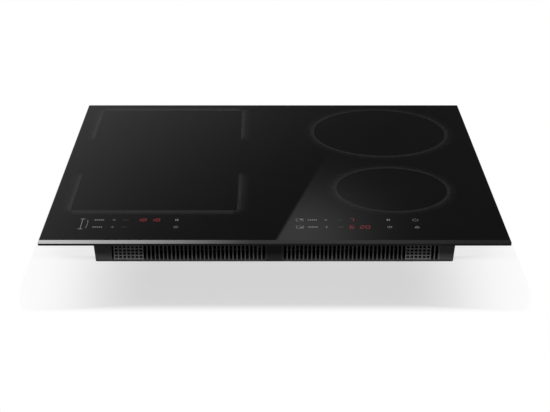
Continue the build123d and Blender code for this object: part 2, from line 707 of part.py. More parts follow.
# Screws that hold the casing under the tray
with BuildPart() as casing_screws:
    screw_seat = tray_bottom - CASING_FLANGE_THICKNESS
    with BuildSketch(Plane.XY.offset(screw_seat)):
        with Locations(casing_screw_places):
            Circle(SCREW_HEAD_DIAMETER / 2)
    extrude(amount=-SCREW_HEAD_HEIGHT)
    with BuildSketch(Plane.XY.offset(screw_seat)):
        with Locations(casing_screw_places):
            Circle(SCREW_DIAMETER / 2)
    extrude(amount=CASING_FLANGE_THICKNESS + TRAY_SHEET + SCREW_TIP)
save(casing_screws, "casing_screws")

# Screws that hold the boards and the fan housings on the bosses
with BuildPart() as board_screws:
    with BuildSketch(Plane.XY.offset(board_top)):
        with Locations(boss_places):
            Circle(BOARD_SCREW_HEAD_DIAMETER / 2)
    extrude(amount=BOARD_SCREW_HEAD_HEIGHT)
    with BuildSketch(Plane.XY.offset(board_top)):
        with Locations(boss_places):
            Circle(BOARD_SCREW_DIAMETER / 2)
    extrude(amount=-BOARD_SCREW_LENGTH)
save(board_screws, "board_screws")

# Coil plates and the soft buffers under their corners
buffer_places = []
for side in SIDES:
    left, right, front, rear = plate_box(side)
    middle = ((left + right) / 2, (front + rear) / 2)
    with BuildPart() as coil_plate:
        with BuildSketch(Plane.XY.offset(plate_bottom)):
            with Locations(middle):
                RectangleRounded(right - left, rear - front, PLATE_CORNER)
            for name in PLATE_COILS[side]:
                coil = COILS[name]
                with Locations((coil.x, coil.y)):
                    with PolarLocations(coil.bar_radius, coil.bars // 2, start_angle=180 / coil.bars):
                        Circle(PEG_DIAMETER / 2 + SCREW_CLEARANCE, mode=Mode.SUBTRACT)
        extrude(amount=PLATE_THICKNESS)
    save(coil_plate, f"coil_plate_{side}")
    corners = GridLocations(right - left - 2 * BUFFER_INSET, rear - front - 2 * BUFFER_INSET, 2, 2)
    buffer_places += [Location(middle) * spot for spot in corners.locations]

with BuildPart() as coil_buffers:
    with BuildSketch(Plane.XY.offset(tray_floor)):
        with Locations(buffer_places):
            Circle(BUFFER_DIAMETER / 2)
    extrude(amount=plate_bottom - tray_floor)
save(coil_buffers, "coil_buffers")

# Formers: discs with a rim and a hub around the winding, pockets for the ferrite bars and snap pegs
for name, coil in COILS.items():
    with BuildPart() as former:
        with BuildSketch(Plane.XY.offset(plate_top)):
            with Locations((coil.x, coil.y)):
                coil_outline(coil, coil.radius)
        extrude(amount=FORMER_THICKNESS)
        with BuildSketch(Plane.XY.offset(former_top)):
            with Locations((coil.x, coil.y)):
                coil_outline(coil, coil.radius)
                coil_outline(coil, coil.radius - FORMER_RIM, Mode.SUBTRACT)
                coil_outline(coil, coil.hub_radius)
                coil_outline(coil, coil.hub_radius - FORMER_RIM, Mode.SUBTRACT)
        extrude(amount=sheet_bottom - former_top)
        with BuildSketch(Plane.XY.offset(plate_top)):
            with Locations((coil.x, coil.y)):
                with PolarLocations(coil.bar_radius, coil.bars):
                    Rectangle(coil.bar_length + 2 * FERRITE_CLEARANCE, FERRITE_WIDTH + 2 * FERRITE_CLEARANCE)
        extrude(amount=FERRITE_THICKNESS + FERRITE_CLEARANCE, mode=Mode.SUBTRACT)
        with BuildSketch(Plane.XY.offset(plate_top)):
            with Locations((coil.x, coil.y)):
                Circle(SENSOR_FOOT_DIAMETER / 2 + SENSOR_CLEARANCE)
        extrude(amount=SENSOR_FOOT_HEIGHT + SENSOR_CLEARANCE, mode=Mode.SUBTRACT)
        with BuildSketch(Plane.XY.offset(plate_top)):
            with Locations((coil.x, coil.y)):
                Circle(SENSOR_DIAMETER / 2 + SENSOR_CLEARANCE)
        extrude(amount=FORMER_THICKNESS, mode=Mode.SUBTRACT)
        with BuildSketch(Plane.XY.offset(plate_top)):
            with Locations((coil.x, coil.y)):
                with PolarLocations(coil.bar_radius, coil.bars // 2, start_angle=180 / coil.bars):
                    Circle(PEG_DIAMETER / 2)
        extrude(amount=-PLATE_THICKNESS - PEG_TIP)
    save(former, f"former_{name}")


def least_gap(path, wire, turn_length, samples):
    """Smallest free distance between turns of a wire, from points spread evenly along its path."""
    points = numpy.array([tuple(path @ (step / samples)) for step in range(samples + 1)])
    apart = max(1, int(samples * turn_length / path.length))
    nearest = min(
        float(numpy.linalg.norm(points[step + apart :] - points[step], axis=1).min())
        for step in range(samples - apart)
    )
    return nearest - wire


# Windings: one unbroken wire each, of quarter-turn arcs whose radius grows by a quarter of the pitch
for name, coil in COILS.items():
    with BuildPart() as winding:
        with BuildLine() as turns:
            radius = coil.winding_start
            point = Vector(coil.x + coil.run_x / 2, coil.y - coil.run_y / 2 - radius, winding_level)
            heading = Vector(1, 0)
            Line(point - heading * WIRE_DIAMETER, point)
            for quarter in range(4 * coil.turns):
                run = coil.run_x if quarter % 2 else coil.run_y
                corner = JernArc(point, heading, radius, 90)
                heading = heading.rotate(Axis.Z, 90)
                point = corner @ 1
                if run > 0:
                    Line(point, point + heading * run)
                    point = point + heading * run
                radius += WIRE_PITCH / 4
            Line(point, point + heading * WIRE_DIAMETER)
        wire_path = turns.wires()[0]
        with BuildSketch(Plane(origin=wire_path @ 0, z_dir=wire_path % 0)):
            Circle(WIRE_DIAMETER / 2)
        sweep(path=wire_path)
    half_turn = 3 * coil.winding_start
    gap = least_gap(wire_path, WIRE_DIAMETER, half_turn, 120 * coil.turns)
    print(f"winding_{name}: least gap between turns {gap:.2f} mm")
    save(winding, f"winding_{name}")

# Ferrite bars in the pockets of the formers
with BuildPart() as ferrite_bars:
    for coil in COILS.values():
        with BuildSketch(Plane.XY.offset(plate_top)):
            with Locations((coil.x, coil.y)):
                with PolarLocations(coil.bar_radius, coil.bars):
                    Rectangle(coil.bar_length, FERRITE_WIDTH)
        extrude(amount=FERRITE_THICKNESS)
save(ferrite_bars, "ferrite_bars")

# Insulating sheets between the windings and the glass
with BuildPart() as coil_sheets:
    with BuildSketch(Plane.XY.offset(sheet_bottom)):
        for coil in COILS.values():
            with Locations((coil.x, coil.y)):
                coil_outline(coil, coil.radius)
                Circle(SENSOR_DIAMETER / 2 + SENSOR_CLEARANCE, mode=Mode.SUBTRACT)
    extrude(amount=SHEET_THICKNESS)
save(coil_sheets, "coil_sheets")

# Temperature sensors in the middle of the coils
coil_middles = [(coil.x, coil.y) for coil in COILS.values()]
with BuildPart() as coil_sensors:
    with BuildSketch(Plane.XY.offset(plate_top)):
        with Locations(coil_middles):
            Circle(SENSOR_FOOT_DIAMETER / 2)
    extrude(amount=SENSOR_FOOT_HEIGHT)
    with BuildSketch(Plane.XY.offset(plate_top)):
        with Locations(coil_middles):
            Circle(SENSOR_DIAMETER / 2)
    extrude(amount=glass_bottom - plate_top)
save(coil_sensors, "coil_sensors")

# Touch controls: carrier, board, sensor pads, number displays and flat cable on each side
for side in SIDES:
    middle_x = touch_x[side]
    inner_width = TOUCH_BOARD_WIDTH[side] + 2 * CARRIER_CLEARANCE
    inner_depth = TOUCH_BOARD_DEPTH + 2 * CARRIER_CLEARANCE
    carrier_width = inner_width + 2 * CARRIER_WALL
    carrier_depth = inner_depth + 2 * CARRIER_WALL
    carrier_bottom = tray_floor + CARRIER_FOOT_HEIGHT
    window_width = (inner_width - CARRIER_BRIDGE) / 2 - CARRIER_LEDGE
    with BuildPart() as touch_carrier:
        with BuildSketch(Plane.XY.offset(carrier_bottom)):
            with Locations((middle_x, touch_y)):
                Rectangle(carrier_width, carrier_depth)
        extrude(amount=touch_board_top + CARRIER_RIM - carrier_bottom)
        with BuildSketch(Plane.XY.offset(touch_board_bottom)):
            with Locations((middle_x, touch_y)):
                Rectangle(inner_width, inner_depth)
        extrude(amount=DISPLAY_HEIGHT, mode=Mode.SUBTRACT)
        with BuildSketch(Plane.XY.offset(carrier_bottom)):
            with Locations((middle_x, touch_y)):
                with GridLocations(window_width + CARRIER_BRIDGE, 0, 2, 1):
                    Rectangle(window_width, inner_depth - 2 * CARRIER_LEDGE)
                Rectangle(ribbon_slot_width, ribbon_slot_depth)
        extrude(amount=touch_board_bottom - carrier_bottom, mode=Mode.SUBTRACT)
        with BuildSketch(Plane.XY.offset(tray_floor)):
            with Locations((middle_x, touch_y)):
                with GridLocations(
                    carrier_width - 2 * CARRIER_FOOT_INSET, carrier_depth - 2 * CARRIER_FOOT_INSET, 2, 2
                ):
                    Circle(CARRIER_FOOT_DIAMETER / 2)
        extrude(amount=touch_board_bottom - tray_floor)
    save(touch_carrier, f"touch_carrier_{side}")

    with BuildPart() as touch_board:
        with BuildSketch(Plane.XY.offset(touch_board_bottom)):
            with Locations((middle_x, touch_y)):
                Rectangle(TOUCH_BOARD_WIDTH[side], TOUCH_BOARD_DEPTH)
        extrude(amount=BOARD_THICKNESS)
    save(touch_board, f"touch_board_{side}")

    with BuildPart() as touch_pads:
        with BuildSketch(Plane.XY.offset(touch_board_top)):
            for offset in PAD_OFFSETS[side]:
                with Locations((middle_x + offset, touch_y)):
                    with GridLocations(0, PAD_ROW_SPACING, 1, 2):
                        Circle(PAD_DIAMETER / 2)
        extrude(amount=DISPLAY_HEIGHT)
    save(touch_pads, f"touch_pads_{side}")

    display_rows = [touch_y + row * PAD_ROW_SPACING / 2 for row in DISPLAY_ROWS[side]]
    with BuildPart() as display:
        with BuildSketch(Plane.XY.offset(touch_board_top)):
            with Locations([(middle_x + DISPLAY_OFFSET[side], row_y) for row_y in display_rows]):
                Rectangle(DISPLAY_WIDTH, DISPLAY_DEPTH)
        extrude(amount=DISPLAY_HEIGHT)
    save(display, f"display_{side}")

    header_front = ribbon_landing_y - RIBBON_HEADER_LENGTH / 2
    ribbon_level = board_top + RIBBON_HEADER_HEIGHT / 2
    with BuildPart() as touch_cable:
        with BuildSketch(Plane.YZ.offset(middle_x)):
            with BuildLine():
                FilletPolyline(
                    (touch_y, touch_board_bottom),
                    (touch_y, ribbon_level),
                    (header_front + RIBBON_HEADER_WALL, ribbon_level),
                    radius=RIBBON_BEND,
                )
            trace(line_width=RIBBON_THICKNESS)
        extrude(amount=RIBBON_WIDTH / 2, both=True)
        with BuildSketch(Plane.XY.offset(board_top)):
            with Locations((middle_x, ribbon_landing_y)):
                Rectangle(RIBBON_WIDTH + 2 * RIBBON_HEADER_WALL, RIBBON_HEADER_LENGTH)
        extrude(amount=RIBBON_HEADER_HEIGHT)
    save(touch_cable, f"touch_cable_{side}")

# Power boards with heat sink, power transistors and capacitors
for side, sign in SIDES.items():
    with BuildPart() as power_board:
        with BuildSketch(Plane.XY.offset(board_bottom)):
            with Locations((sign * board_x, board_y)):
                Rectangle(board_width, board_depth)
            with Locations(board_hole_places[side]):
                Circle(BOARD_SCREW_DIAMETER / 2 + SCREW_CLEARANCE, mode=Mode.SUBTRACT)
        extrude(amount=BOARD_THICKNESS)
    save(power_board, f"power_board_{side}")

    fin_pitch = (SINK_WIDTH - SINK_DEVICE_PLATE - SINK_FIN / 2) / SINK_FINS
    with BuildPart() as heat_sink:
        with BuildSketch(Plane.XZ.offset(-sink_y)):
            with Locations((sign * sink_x, board_top + SINK_BASE / 2)):
                Rectangle(SINK_WIDTH, SINK_BASE)
            with Locations((sign * (device_face + SINK_DEVICE_PLATE / 2), board_top + sink_height / 2)):
                Rectangle(SINK_DEVICE_PLATE, sink_height)
            for fin in range(1, SINK_FINS + 1):
                fin_x = device_face + SINK_DEVICE_PLATE + fin * fin_pitch - SINK_FIN / 2
                with Locations((sign * fin_x, board_top + sink_height / 2)):
                    Rectangle(SINK_FIN, sink_height)
        extrude(amount=SINK_LENGTH / 2, both=True)
    save(heat_sink, f"heat_sink_{side}")

    device_x = sign * (device_face - TRANSISTOR_THICKNESS / 2)
    with BuildPart() as transistors:
        with BuildSketch(Plane.XY.offset(board_top + TRANSISTOR_LIFT)):
            with Locations((device_x, sink_y)):
                with GridLocations(0, TRANSISTOR_SPACING, 1, TRANSISTOR_COUNT):
                    Rectangle(TRANSISTOR_THICKNESS, TRANSISTOR_WIDTH)
        extrude(amount=TRANSISTOR_HEIGHT)
        with BuildSketch(Plane.XY.offset(board_top)):
            with Locations((device_x, sink_y)):
                with GridLocations(0, TRANSISTOR_SPACING, 1, TRANSISTOR_COUNT):
                    with GridLocations(0, TRANSISTOR_LEG_SPACING, 1, 3):
                        Rectangle(TRANSISTOR_LEG, TRANSISTOR_LEG)
        extrude(amount=TRANSISTOR_LIFT)
    save(transistors, f"transistors_{side}")

    with BuildPart() as capacitors:
        with BuildSketch(Plane.XY.offset(board_top)):
            with Locations((sign * parts_x, board_rear - CAPACITOR_SETBACK)):
                with GridLocations(CAPACITOR_SPACING_X, CAPACITOR_SPACING_Y, 2, 2):
                    Rectangle(CAPACITOR_LENGTH, CAPACITOR_WIDTH)
        extrude(amount=CAPACITOR_HEIGHT)
        fillet(capacitors.edges().group_by(Axis.Z)[-1], radius=BOARD_THICKNESS / 2)
    save(capacitors, f"capacitors_{side}")

# Ring chokes, one on each power board
with BuildPart() as chokes:
    with BuildSketch(Plane.XY.offset(board_top)):
        with Locations([(sign * parts_x, board_rear - CHOKE_SETBACK) for sign in SIDES.values()]):
            Circle(CHOKE_DIAMETER / 2)
            Circle(CHOKE_BORE / 2, mode=Mode.SUBTRACT)
    extrude(amount=CHOKE_HEIGHT)
    fillet(chokes.edges().group_by(Axis.Z)[-1], radius=CHOKE_ROUNDING)
save(chokes, "chokes")

# Filter board between the fans, with two capacitors and a ring choke
with BuildPart() as filter_board:
    with BuildSketch(Plane.XY.offset(board_bottom)):
        with Locations((0, filter_y)):
            Rectangle(filter_width, filter_depth)
        with Locations(filter_hole_places):
            Circle(BOARD_SCREW_DIAMETER / 2 + SCREW_CLEARANCE, mode=Mode.SUBTRACT)
    extrude(amount=BOARD_THICKNESS)
save(filter_board, "filter_board")

with BuildPart() as filter_parts:
    with BuildSketch(Plane.XY.offset(board_top)):
        with Locations((0, filter_y)):
            with GridLocations(2 * filter_capacitor_x, 0, 2, 1):
                Rectangle(CAPACITOR_WIDTH, CAPACITOR_LENGTH)
            Circle(FILTER_CHOKE_DIAMETER / 2)
            Circle(FILTER_CHOKE_BORE / 2, mode=Mode.SUBTRACT)
    extrude(amount=CHOKE_HEIGHT)
save(filter_parts, "filter_parts")

# Wires from the terminal block to the filter board, and from there to the power boards
wire_paths = []
mains_level = TERMINAL_LIFT + MAINS_WIRE_LIFT
mains_landing = filter_rear - FILTER_LANDING
mains_places = [
    BLOCK_OFFSET + (wire - (MAINS_WIRES - 1) / 2) * MAINS_WIRE_PITCH for wire in range(MAINS_WIRES)
]
for wire_x in mains_places:
    wire_paths.append(
        [
            (wire_x, terminal_front + TERMINAL_WALL, mains_level),
            (wire_x, mains_landing, mains_level),
            (wire_x, mains_landing, board_top),
        ]
    )
for sign in SIDES.values():
    for lane in (0, 1):
        wire_x = sign * (wire_lead_x + lane * WIRE_LEAD_SPACING)
        wire_paths.append(
            [
                (wire_x, scroll_front + WIRE_LEAD_REACH, board_top),
                (wire_x, scroll_front + WIRE_LEAD_REACH, board_top + WIRE_LEAD_RISE),
                (wire_x, board_rear - WIRE_LEAD_REACH, board_top + WIRE_LEAD_RISE),
                (wire_x, board_rear - WIRE_LEAD_REACH, board_top),
            ]
        )
with BuildPart() as board_wires:
    for points in wire_paths:
        with BuildLine() as route:
            FilletPolyline(*points, radius=WIRE_LEAD_BEND)
        wire_path = route.wires()[0]
        with BuildSketch(Plane(origin=wire_path @ 0, z_dir=wire_path % 0)):
            Circle(WIRE_LEAD_DIAMETER / 2)
        sweep(path=wire_path)
save(board_wires, "board_wires")

# Fans: scroll housing open to the floor, with a bearing post hanging from its roof
post_bottom = fan_top - SCROLL_WALL - BUSH_LENGTH - SCROLL_WALL
shaft_top = post_bottom + BUSH_LENGTH - SHAFT_END_GAP
impeller_radius = SCROLL_RADIUS - SCROLL_WALL - IMPELLER_GAP


def scroll_outline(side, wall, mouth):
    """Plan of a fan housing drawn in by a wall: a round chamber with a mouth to the front."""
    sign = SIDES[side]
    outer_x = fan_x + SCROLL_RADIUS - wall
    inner_x = fan_x - SCROLL_TONGUE + wall
    front = scroll_front - mouth
    with Locations((sign * fan_x, fan_y)):
        Circle(SCROLL_RADIUS - wall)
    with Locations((sign * (outer_x + inner_x) / 2, (fan_y + front) / 2)):
        Rectangle(outer_x - inner_x, fan_y - front)


for side, sign in SIDES.items():
    fan_middle = (sign * fan_x, fan_y)
    with BuildPart() as fan_housing:
        with BuildSketch(Plane.XY.offset(floor_top)):
            scroll_outline(side, 0, 0)
        extrude(amount=fan_top - floor_top)
        with BuildSketch(Plane.XY.offset(board_bottom)):
            with Locations(ear_places[side]):
                Circle(EAR_DIAMETER / 2)
                Circle(BOARD_SCREW_DIAMETER / 2 + SCREW_CLEARANCE, mode=Mode.SUBTRACT)
        extrude(amount=BOARD_THICKNESS)
        with BuildSketch(Plane.XY.offset(floor_top)):
            scroll_outline(side, SCROLL_WALL, SCROLL_WALL)
        extrude(amount=fan_top - SCROLL_WALL - floor_top, mode=Mode.SUBTRACT)
        with BuildSketch(Plane.XY.offset(post_bottom)):
            with Locations(fan_middle):
                Circle(BEARING_POST_DIAMETER / 2)
        extrude(amount=fan_top - post_bottom)
        with BuildSketch(Plane.XY.offset(post_bottom)):
            with Locations(fan_middle):
                Circle(BUSH_DIAMETER / 2)
        extrude(amount=BUSH_LENGTH, mode=Mode.SUBTRACT)
    save(fan_housing, f"fan_housing_{side}")

    with BuildPart() as fan_impeller:
        with BuildSketch(Plane.XY.offset(hub_bottom)):
            with Locations(fan_middle):
                Circle(HUB_RADIUS)
        extrude(amount=impeller_top - hub_bottom)
        with BuildSketch(Plane.XY.offset(hub_bottom + HUB_WALL)):
            with Locations(fan_middle):
                Circle(HUB_RADIUS - HUB_WALL)
        extrude(amount=impeller_top - hub_bottom, mode=Mode.SUBTRACT)
        with BuildSketch(Plane.XY.offset(hub_bottom)):
            with Locations(fan_middle):
                Circle(SHAFT_DIAMETER / 2)
        extrude(amount=shaft_top - hub_bottom)
        with BuildSketch(Plane.XY.offset(impeller_top - IMPELLER_DISC)):
            with Locations(fan_middle):
                Circle(impeller_radius)
                Circle(HUB_RADIUS - HUB_WALL / 2, mode=Mode.SUBTRACT)
        extrude(amount=IMPELLER_DISC)
        with BuildSketch(Plane.XY.offset(impeller_bottom)):
            with Locations(fan_middle):
                Circle(impeller_radius)
                Circle(impeller_radius - SHROUD_WIDTH, mode=Mode.SUBTRACT)
        extrude(amount=IMPELLER_DISC)
        with BuildSketch(Plane.XY.offset(impeller_bottom)):
            with Locations(fan_middle):
                with PolarLocations(impeller_radius - SHROUD_WIDTH, BLADE_COUNT):
                    Rectangle(BLADE_LENGTH, BLADE_THICKNESS, rotation=sign * BLADE_ANGLE)
                Circle(impeller_radius, mode=Mode.INTERSECT)
        extrude(amount=impeller_top - impeller_bottom)
    save(fan_impeller, f"fan_impeller_{side}")

fan_middles = [(sign * fan_x, fan_y) for sign in SIDES.values()]
with BuildPart() as fan_bushes:
    with BuildSketch(Plane.XY.offset(post_bottom)):
        with Locations(fan_middles):
            Circle(BUSH_DIAMETER / 2)
            Circle(SHAFT_DIAMETER / 2 + SHAFT_CLEARANCE, mode=Mode.SUBTRACT)
    extrude(amount=BUSH_LENGTH)
save(fan_bushes, "fan_bushes")

with BuildPart() as fan_stators:
    stator_radius = STATOR_DIAMETER / 2
    with BuildSketch(Plane.XY.offset(post_bottom)):
        with Locations(fan_middles):
            Circle(stator_radius)
            Circle(BEARING_POST_DIAMETER / 2 + STATOR_CLEARANCE, mode=Mode.SUBTRACT)
            with PolarLocations(stator_radius - STATOR_SLOT_DEPTH / 2, STATOR_POLES):
                Rectangle(STATOR_SLOT_DEPTH, STATOR_SLOT_WIDTH, mode=Mode.SUBTRACT)
    extrude(amount=STATOR_HEIGHT)
save(fan_stators, "fan_stators")

# Terminal box: a flanged shell in the rear window, open behind the cover, with the gland panel beside it
terminal_width = TERMINAL_WIDTH - 2 * TERMINAL_CLEARANCE
terminal_height = terminal_window - 2 * TERMINAL_CLEARANCE
flange_rear = casing_rear + TERMINAL_FLANGE_THICKNESS
chamber_half = terminal_width / 2 - TERMINAL_WALL
gland_x = chamber_half - GLAND_PANEL_WIDTH / 2
opening_right = chamber_half - GLAND_PANEL_WIDTH
cover_left = -chamber_half - COVER_OVERLAP
cover_right = opening_right + COVER_OVERLAP
cover_bottom = TERMINAL_LIFT - COVER_OVERLAP
hinge_y = flange_rear + COVER_GAP + COVER_BARREL_DIAMETER / 2
hinge_z = terminal_top + COVER_OVERLAP
ear_span = cover_right - cover_left + 2 * COVER_GAP + COVER_EAR
ear_half = COVER_BARREL_DIAMETER / 2 + COVER_GAP
cover_middle = (cover_left + cover_right) / 2
with BuildPart() as terminal_box:
    with BuildSketch(Plane.XZ.offset(-terminal_front)):
        with Locations((0, terminal_middle)):
            Rectangle(terminal_width, terminal_height)
    extrude(amount=-TERMINAL_DEPTH)
    with BuildSketch(Plane.XZ.offset(-casing_rear)):
        with Locations((0, terminal_middle)):
            Rectangle(TERMINAL_WIDTH + 2 * TERMINAL_FLANGE, terminal_window + 2 * TERMINAL_FLANGE)
    extrude(amount=-TERMINAL_FLANGE_THICKNESS)
    with BuildSketch(Plane.XZ.offset(-terminal_front - TERMINAL_WALL)):
        with Locations((0, terminal_middle)):
            Rectangle(2 * chamber_half, terminal_height - 2 * TERMINAL_WALL)
    extrude(amount=-TERMINAL_DEPTH - TERMINAL_FLANGE_THICKNESS, mode=Mode.SUBTRACT)
    with BuildSketch(Plane.XZ.offset(-flange_rear)):
        with Locations((gland_x, terminal_middle)):
            Rectangle(GLAND_PANEL_WIDTH, terminal_height)
            Circle(GLAND_STEM_DIAMETER / 2 + GLAND_CLEARANCE, mode=Mode.SUBTRACT)
    extrude(amount=GLAND_PANEL_THICKNESS)
    with BuildSketch(Plane.XZ.offset(-terminal_front)):
        with Locations([(wire_x, mains_level) for wire_x in mains_places]):
            Circle(WIRE_LEAD_DIAMETER / 2 + MAINS_HOLE_CLEARANCE)
    extrude(amount=-TERMINAL_WALL, mode=Mode.SUBTRACT)
    for ear_x in (cover_middle - ear_span / 2, cover_middle + ear_span / 2):
        with BuildSketch(Plane.YZ.offset(ear_x)):
            with Locations(((flange_rear + hinge_y + ear_half) / 2, hinge_z)):
                Rectangle(hinge_y + ear_half - flange_rear, 2 * ear_half)
            with Locations((hinge_y, hinge_z)):
                Circle(COVER_PIN_DIAMETER / 2 + COVER_PIN_CLEARANCE, mode=Mode.SUBTRACT)
        extrude(amount=COVER_EAR / 2, both=True)
save(terminal_box, "terminal_box")

# Cover of the terminal box, hinged along its top edge
cover_inner = hinge_y - COVER_THICKNESS / 4
cover_width = cover_right - cover_left
with BuildPart() as terminal_cover:
    with BuildSketch(Plane.XZ.offset(-cover_inner)):
        with Locations((cover_middle, (cover_bottom + hinge_z) / 2)):
            Rectangle(cover_width, hinge_z - cover_bottom)
    extrude(amount=-COVER_THICKNESS)
    rim_height = hinge_z - COVER_BARREL_DIAMETER / 2 - cover_bottom
    with BuildSketch(Plane.XZ.offset(-cover_inner)):
        with Locations((cover_middle, cover_bottom + rim_height / 2)):
            Rectangle(cover_width, rim_height)
            Rectangle(cover_width - 2 * COVER_RIM_WALL, rim_height - 2 * COVER_RIM_WALL, mode=Mode.SUBTRACT)
    extrude(amount=cover_inner - flange_rear - COVER_GAP)
    with BuildSketch(Plane.YZ.offset(cover_middle)):
        with Locations((hinge_y, hinge_z)):
            Circle(COVER_BARREL_DIAMETER / 2)
    extrude(amount=cover_width / 2, both=True)
    with BuildSketch(Plane.YZ.offset(cover_middle)):
        with Locations((hinge_y, hinge_z)):
            Circle(COVER_PIN_DIAMETER / 2)
    extrude(amount=cover_width / 2 + COVER_PIN_LENGTH, both=True)
save(terminal_cover, "terminal_cover")

# Terminal block against the inner wall of the box, with square wire entries towards the cover
block_front = terminal_front + TERMINAL_WALL
block_bottom = TERMINAL_LIFT + TERMINAL_CLEARANCE + TERMINAL_WALL
with BuildPart() as terminal_block:
    with BuildSketch(Plane.XY.offset(block_bottom)):
        with Locations((BLOCK_OFFSET, block_front + BLOCK_DEPTH / 2)):
            Rectangle(BLOCK_LENGTH, BLOCK_DEPTH)
    extrude(amount=BLOCK_HEIGHT)
    with BuildSketch(Plane.XZ.offset(-block_front - BLOCK_DEPTH)):
        with Locations((BLOCK_OFFSET, block_bottom + BLOCK_HEIGHT / 2)):
            with GridLocations(BLOCK_POLE_PITCH, 0, BLOCK_POLES, 1):
                Rectangle(BLOCK_ENTRY, BLOCK_ENTRY)
    extrude(amount=BLOCK_ENTRY_DEPTH, mode=Mode.SUBTRACT)
save(terminal_block, "terminal_block")

# Clamping screws in the wire entries of the block
with BuildPart() as terminal_clamps:
    with BuildSketch(Plane.XZ.offset(-block_front - BLOCK_DEPTH + BLOCK_ENTRY_DEPTH)):
        with Locations((BLOCK_OFFSET, block_bottom + BLOCK_HEIGHT / 2)):
            with GridLocations(BLOCK_POLE_PITCH, 0, BLOCK_POLES, 1):
                Circle(CLAMP_SCREW_DIAMETER / 2)
    extrude(amount=-CLAMP_SCREW_DEPTH)
save(terminal_clamps, "terminal_clamps")

# Cable gland in its panel: stem, hexagon and neck around one bore
with BuildPart() as cable_gland:
    gland_stem = Plane.XZ.offset(-flange_rear)
    with BuildSketch(gland_stem):
        with Locations((gland_x, terminal_middle)):
            Circle(GLAND_STEM_DIAMETER / 2)
    extrude(amount=GLAND_STEM_LENGTH)
    with BuildSketch(gland_stem):
        with Locations((gland_x, terminal_middle)):
            RegularPolygon(GLAND_HEX / 2, 6, major_radius=False)
    extrude(amount=-GLAND_HEX_LENGTH)
    with BuildSketch(gland_stem):
        with Locations((gland_x, terminal_middle)):
            Circle(GLAND_NECK_DIAMETER / 2)
    extrude(amount=-GLAND_HEX_LENGTH - GLAND_NECK_LENGTH)
    with BuildSketch(gland_stem.offset(GLAND_STEM_LENGTH)):
        with Locations((gland_x, terminal_middle)):
            Circle(GLAND_BORE_DIAMETER / 2)
    extrude(amount=-GLAND_STEM_LENGTH - GLAND_HEX_LENGTH - GLAND_NECK_LENGTH, mode=Mode.SUBTRACT)
save(cable_gland, "cable_gland")
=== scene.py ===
"""Looks of a built-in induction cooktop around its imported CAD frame, with floor, studio light and camera."""

import math

import bpy
import numpy as np
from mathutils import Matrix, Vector


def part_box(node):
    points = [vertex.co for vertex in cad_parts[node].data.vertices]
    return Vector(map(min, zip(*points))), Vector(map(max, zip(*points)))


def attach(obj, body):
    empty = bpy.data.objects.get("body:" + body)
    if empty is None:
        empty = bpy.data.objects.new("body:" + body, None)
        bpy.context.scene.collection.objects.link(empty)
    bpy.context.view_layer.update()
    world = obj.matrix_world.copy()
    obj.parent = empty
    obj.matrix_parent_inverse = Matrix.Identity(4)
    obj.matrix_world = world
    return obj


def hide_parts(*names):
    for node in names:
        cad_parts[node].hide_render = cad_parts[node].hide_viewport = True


MM = 0.001

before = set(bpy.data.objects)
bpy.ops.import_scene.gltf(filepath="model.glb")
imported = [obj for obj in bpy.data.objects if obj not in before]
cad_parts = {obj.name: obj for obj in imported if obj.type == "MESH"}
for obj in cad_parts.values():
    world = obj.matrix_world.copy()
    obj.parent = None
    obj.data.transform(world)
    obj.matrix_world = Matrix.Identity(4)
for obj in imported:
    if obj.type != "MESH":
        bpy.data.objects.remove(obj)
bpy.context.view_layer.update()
glass_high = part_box("glass_top")[1]

# Camera, in millimetres and degrees, and the image that it is set up for
IMAGE_WIDTH = 550
SENSOR_WIDTH = 36.0
FOCAL_PIXELS = 1326.7
PRINCIPAL_X = 268.0
PRINCIPAL_Y = 206.0
CAMERA_PITCH = 23.496
CAMERA_PLACE = (-8.3, -1754.3, 749.5)
CAMERA_CLIP = (0.05, 200.0)

# Surfaces: usual span of a noise, share of the fine grain beside the slow drift, size of the drift in
# millimetres, how far the roughness varies, and the gloss. A relief is a strength and a depth in millimetres
NOISE_SPAN = (0.3, 0.7)
NOISE_ROUGHNESS = 0.55
FINE_SHARE = 0.6
DRIFT = 40.0
ROUGHNESS_SPREAD = 0.18
PLAIN_GLOSS = 0.5

# Glass: sizes of smears and grinding lines in millimetres, and how far a face's normal points up where the
# grinding begins and where the frost and the gloss of the ground faces change. The paler colour of the leaning
# bevel is partly the real frost of ground glass and partly a painted glint
SMEAR = 60.0
SMEAR_SPAN = (0.35, 0.65)
GRINDING_LINE = 0.35
GRINDING_STRETCH = (0.03, 1, 1)
GRINDING_LEAN = (0.995, 0.985)
GRINDING_RELIEF = (0.12, 0.01)
POLISHED_ROUGHNESS = (0.008, 0.018)
GROUND_ROUGHNESS = (0.09, 0.14)
GLASS_BODY = ((0.0021, 0.0021, 0.0022), (0.0027, 0.0027, 0.0029))
GLASS_FROST_AND_GLINT = ((0.004, 0.004, 0.0044), (0.022, 0.022, 0.0225))
FROST_AND_GLINT_LEAN = (0.6, 0.9)
EDGE_GLOSS_LEAN = (0.3, 0.6)
EDGE_GLOSS = (0.08, 1.0)
GLASS_IOR = 1.5

# Casing: foot and draft of its front wall, where the painted shade inside it ends, the plain block between the
# vents, and where the painted highlight on the square grid of the vents begins and ends, from the middle and
# from the floor
FRONT_FOOT = -209.69
FRONT_DRAFT = math.radians(4.0)
INSIDE_HALF = 230.0
INSIDE_REAR = 211.0
BLOCK_HALF = 12.0
GRID_SPAN = (170.0, 207.0)
GRID_FOOT = 2.4
